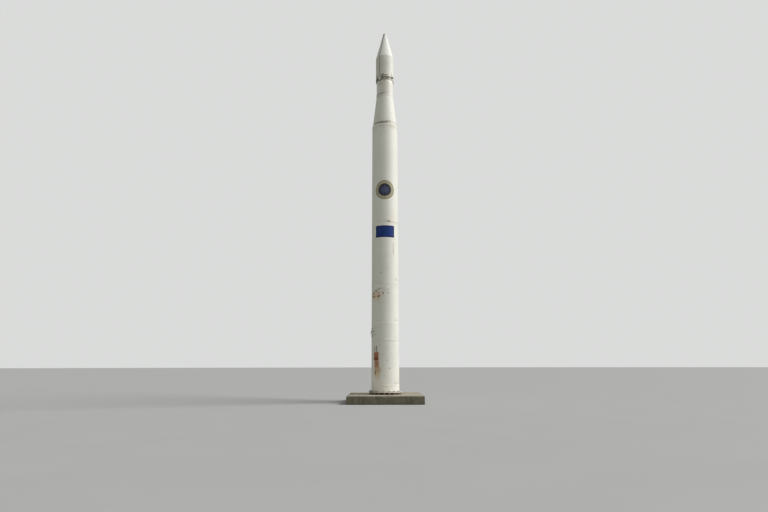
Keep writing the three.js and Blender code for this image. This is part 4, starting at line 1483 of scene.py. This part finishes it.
LEAVES = {"right": SPLIT_AZIMUTH + 90, "left": SPLIT_AZIMUTH - 90}  # the azimuths of their middles
LEAF_EDGE = 0.002
FRAME_DEEP = 0.013
FRAME_HALF = 0.012
FRAME_END = 88  # degrees from a leaf's middle
EDGE_MEMBER = 3  # degrees wide
EDGE_DEEP = 0.008
EDGE_CLEAR = 0.015  # from a hoop's middle to the edge members
RIVET_RADIUS = 0.006
RIVET_SUNK = 0.0003
RIVET_IN = 0.022  # from the barrel's foot and top
RIVET_END = 86.5  # degrees from a leaf's middle
RIVET_STEP = 0.075
RIVETS_ROUND = 30
RIVETS_REACH = 84  # degrees from a leaf's middle
PIN_RADIUS = 0.009
PIN_HALF = 0.042
PIN_HEAD = 0.008
PIN_ENDS = 0.0393  # from the pin's middle to its heads
TIP_STEPS = 10
TIP_MIDDLE = 0.08  # the tip's mean radius


def leaf_sheet(name, node, side, outline, paint):
    """Half of a ring about the axis, a small gap short of the other half at both ends."""
    middle = LEAVES[side]
    shape = part_lathe(outline, middle - 90, middle + 90, SPLIT_HALF_GAP)
    piece(name, shape, paint, f"fairing_leaf_{side}", (node,))


def leaf_barrel(side):
    low, high, _ = span(f"fairing_barrel_{side}")
    radius = BARREL_RADIUS
    # Its white is darker than the leaves' own: painted shade.
    paint = weathered(f"barrel_paint_and_shade_{side}", BARREL_WHITE_PAINTED_SHADE, low, high, radius, MARKS["fairing_barrel"],
                      grime=0.8, rust=0.4, inside=(radius, radius), split=SPLIT_AZIMUTH)
    outer = [(radius, height) for height in spaced(low + LEAF_EDGE, high, ROW)]
    foot = [(radius - LEAF_WALL, low), (radius - LEAF_EDGE, low)]
    outline = [*foot, *outer, (radius - LEAF_WALL, high)]
    leaf_sheet(f"barrel_{side}", f"fairing_barrel_{side}", side, outline, paint)


def leaf_cone(side, slope):
    """A leaf's cone. It gives the paint."""
    low, high, _ = span(f"fairing_cone_{side}")
    top = BARREL_RADIUS - slope * (high - low)
    wall = LEAF_WALL / math.cos(math.atan(slope))
    middle = (BARREL_RADIUS + top) / 2
    # Its white is lighter than the leaves' own: painted light on the cone, which faces the sky.
    paint = weathered(f"leaf_cone_paint_and_light_{side}", LEAF_CONE_WHITE_PAINTED_LIGHT, low, high, middle, MARKS["fairing_cone"],
                      grime=0.5, rust=0.3, inside=(BARREL_RADIUS, top), split=SPLIT_AZIMUTH)
    outer = [(BARREL_RADIUS - slope * (height - low), height) for height in spaced(low, high, ROW)]
    outline = [(BARREL_RADIUS - wall, low), *outer, (top - wall, high)]
    leaf_sheet(f"cone_{side}", f"fairing_cone_{side}", side, outline, paint)
    return paint


def frames(side):
    """Hoops and edge members inside a leaf."""
    low, high, _ = span(f"fairing_barrel_{side}")
    middle = LEAVES[side]
    inner = BARREL_RADIUS - LEAF_WALL
    outer = inner + 0.001
    colour = (0.52, 0.50, 0.41)
    primer = steel(f"frame_primer_{side}", colour, rust=0.05, metallic=0.1, roughness=0.6, dirt=0.15)
    foot = low + 0.075
    top = high - 0.04
    roundings = (0.002, 0, 0, 0.002)
    shapes = []
    for level in (foot, (low + high) / 2, top):
        outline = hoop(inner - FRAME_DEEP, outer, level - FRAME_HALF, level + FRAME_HALF, roundings)
        shapes.append(part_lathe(outline, middle - FRAME_END, middle + FRAME_END))
    outline = hoop(inner - EDGE_DEEP, outer, foot + EDGE_CLEAR, top - EDGE_CLEAR)
    end = FRAME_END - 0.1
    for first in (middle - end, middle + end - EDGE_MEMBER):
        shapes.append(part_lathe(outline, first, first + EDGE_MEMBER))
    piece(f"frames_{side}", together(*shapes), primer, f"fairing_leaf_{side}")


def rivets(side, paint):
    """Rivets along a leaf's ends, along its foot and where its barrel meets its cone."""
    low, high, _ = span(f"fairing_barrel_{side}")
    middle = LEAVES[side]
    places = []
    for level in spaced(low + 0.05, high - 0.03, RIVET_STEP):
        places += [(middle - RIVET_END, level), (middle + RIVET_END, level)]
    for i in range(RIVETS_ROUND):
        azimuth = middle + RIVETS_REACH * (2 * i / (RIVETS_ROUND - 1) - 1)
        places += [(azimuth, low + RIVET_IN), (azimuth, high - RIVET_IN)]
    head = rivet(RIVET_RADIUS)
    shapes = [on_wall(head, azimuth, BARREL_RADIUS - RIVET_SUNK, level) for azimuth, level in places]
    piece(f"rivets_{side}", together(*shapes), paint, f"fairing_leaf_{side}")


def hinge_pin(side, material):
    low, high, _ = span(f"hinge_pin_{side}")
    shank = peg([(PIN_RADIUS, -PIN_HALF), (PIN_RADIUS, PIN_HALF)], sides=24)
    head = peg([(0.014, 0), (0.015, 0.001), (0.015, 0.007), (0.013, PIN_HEAD)], sides=24)
    shape = together(shank, raised(head, PIN_ENDS), raised(head, -PIN_ENDS - PIN_HEAD))
    shape = on_wall(moved(shape, ALONG_X), LEAVES[side], HINGE_RADIUS, (low + high) / 2)
    piece(f"pin_{side}", shape, material, replaces=(f"hinge_pin_{side}",))


def nose_cap(slope):
    """The tip: a short cone under a round end that meets it smoothly."""
    low, high, radius = span("nose_cap")
    lean = math.atan(slope)
    side_top = radius - slope * (high - low)
    tip = side_top / (math.cos(lean) - slope * (1 - math.sin(lean)))
    arc = []
    for i in range(TIP_STEPS):
        angle = lean + (math.pi / 2 - lean) * i / TIP_STEPS
        arc.append((tip * math.cos(angle), high - tip * (1 - math.sin(angle))))
    outline = [(radius - 0.003, low), (radius, low + 0.003), *arc, (0.002, high)]
    marks = MARKS["nose_cap"]
    paint = weathered("nose_paint", LEAF_WHITE, low, high, TIP_MIDDLE, marks, grime=0.8, rust=0.6)
    up = 0.03
    screws = on_wall_round(rivet(0.005), 10, radius - slope * up - HEAD_SUNK, low + up, first=18)
    shape = together(peg(outline, SMALL_STEPS), screws)
    piece("nose_tip", shape, paint, "fairing_leaf_right", ("nose_cap",))


def fairing(bright):
    """The two leaves, each with its frames, rivets and hinge, and the tip on the right one."""
    low, high, _ = span("fairing_cone_right")
    slope = (BARREL_RADIUS - span("nose_cap")[2]) / (high - low)
    foot, top, _ = span("hinge_arm_right")
    marks = [("stain", 0, foot, 9.0, 0.024, BROWN, 0.8)]
    strap_paint = weathered("strap_paint", LEAF_WHITE, foot, top, BARREL_RADIUS, marks, grime=1.2, rust=1.5)
    for side in LEAVES:
        body = f"fairing_leaf_{side}"
        leaf_barrel(side)
        paint = leaf_cone(side, slope)
        frames(side)
        rivets(side, paint)
        refined(f"hinge_strap_{side}", f"hinge_arm_{side}", strap_paint, body, edge=0.002)
        hinge_pin(side, bright)
    nose_cap(slope)


camera()
sky()
lamps()
floor()

dark_metal = steel("dark_metal", (0.11, 0.105, 0.09), rust=0.35, metallic=0.2, roughness=0.6, dirt=0.5)
bare_metal = steel("bare_metal", (0.40, 0.385, 0.35), rust=0.45, metallic=0.6, roughness=0.5, dirt=0.4)
bright_metal = steel("bright_metal", (0.78, 0.76, 0.69), rust=0.12, metallic=0.1, roughness=0.5, dirt=0.15)
rusty_metal = steel("rusty_metal", (0.10, 0.08, 0.06), rust=0.8, metallic=0.2, roughness=0.8, dirt=0.7)
primer_metal = steel("primer_metal", (0.52, 0.50, 0.42), rust=0.05, metallic=0.1, roughness=0.6, dirt=0.2)
galvanised = steel("galvanised", (0.52, 0.50, 0.44), rust=0.15, metallic=0.3, roughness=0.55, dirt=0.2)

ground_slab()
anchors(galvanised, rusty_metal)
base_plate()
finishes = body_sections()
foot_weld(finishes["base_collar"])
handling_lug(finishes["joint_ring_1"], dark_metal)
doubler()
emblem()
blue_panel()
recessed_band()
forward_cone()
neck_rings()
separation_ring()
tensioner("clamp_front", "band_fitting_front", SPLIT_AZIMUTH, bright_metal, dark_metal)
tensioner("clamp_rear", "band_fitting_rear", SPLIT_AZIMUTH + 180, bright_metal, dark_metal)
bay(primer_metal, bare_metal)
fairing(bright_metal)

bpy.context.scene.view_settings.view_transform = "Standard"
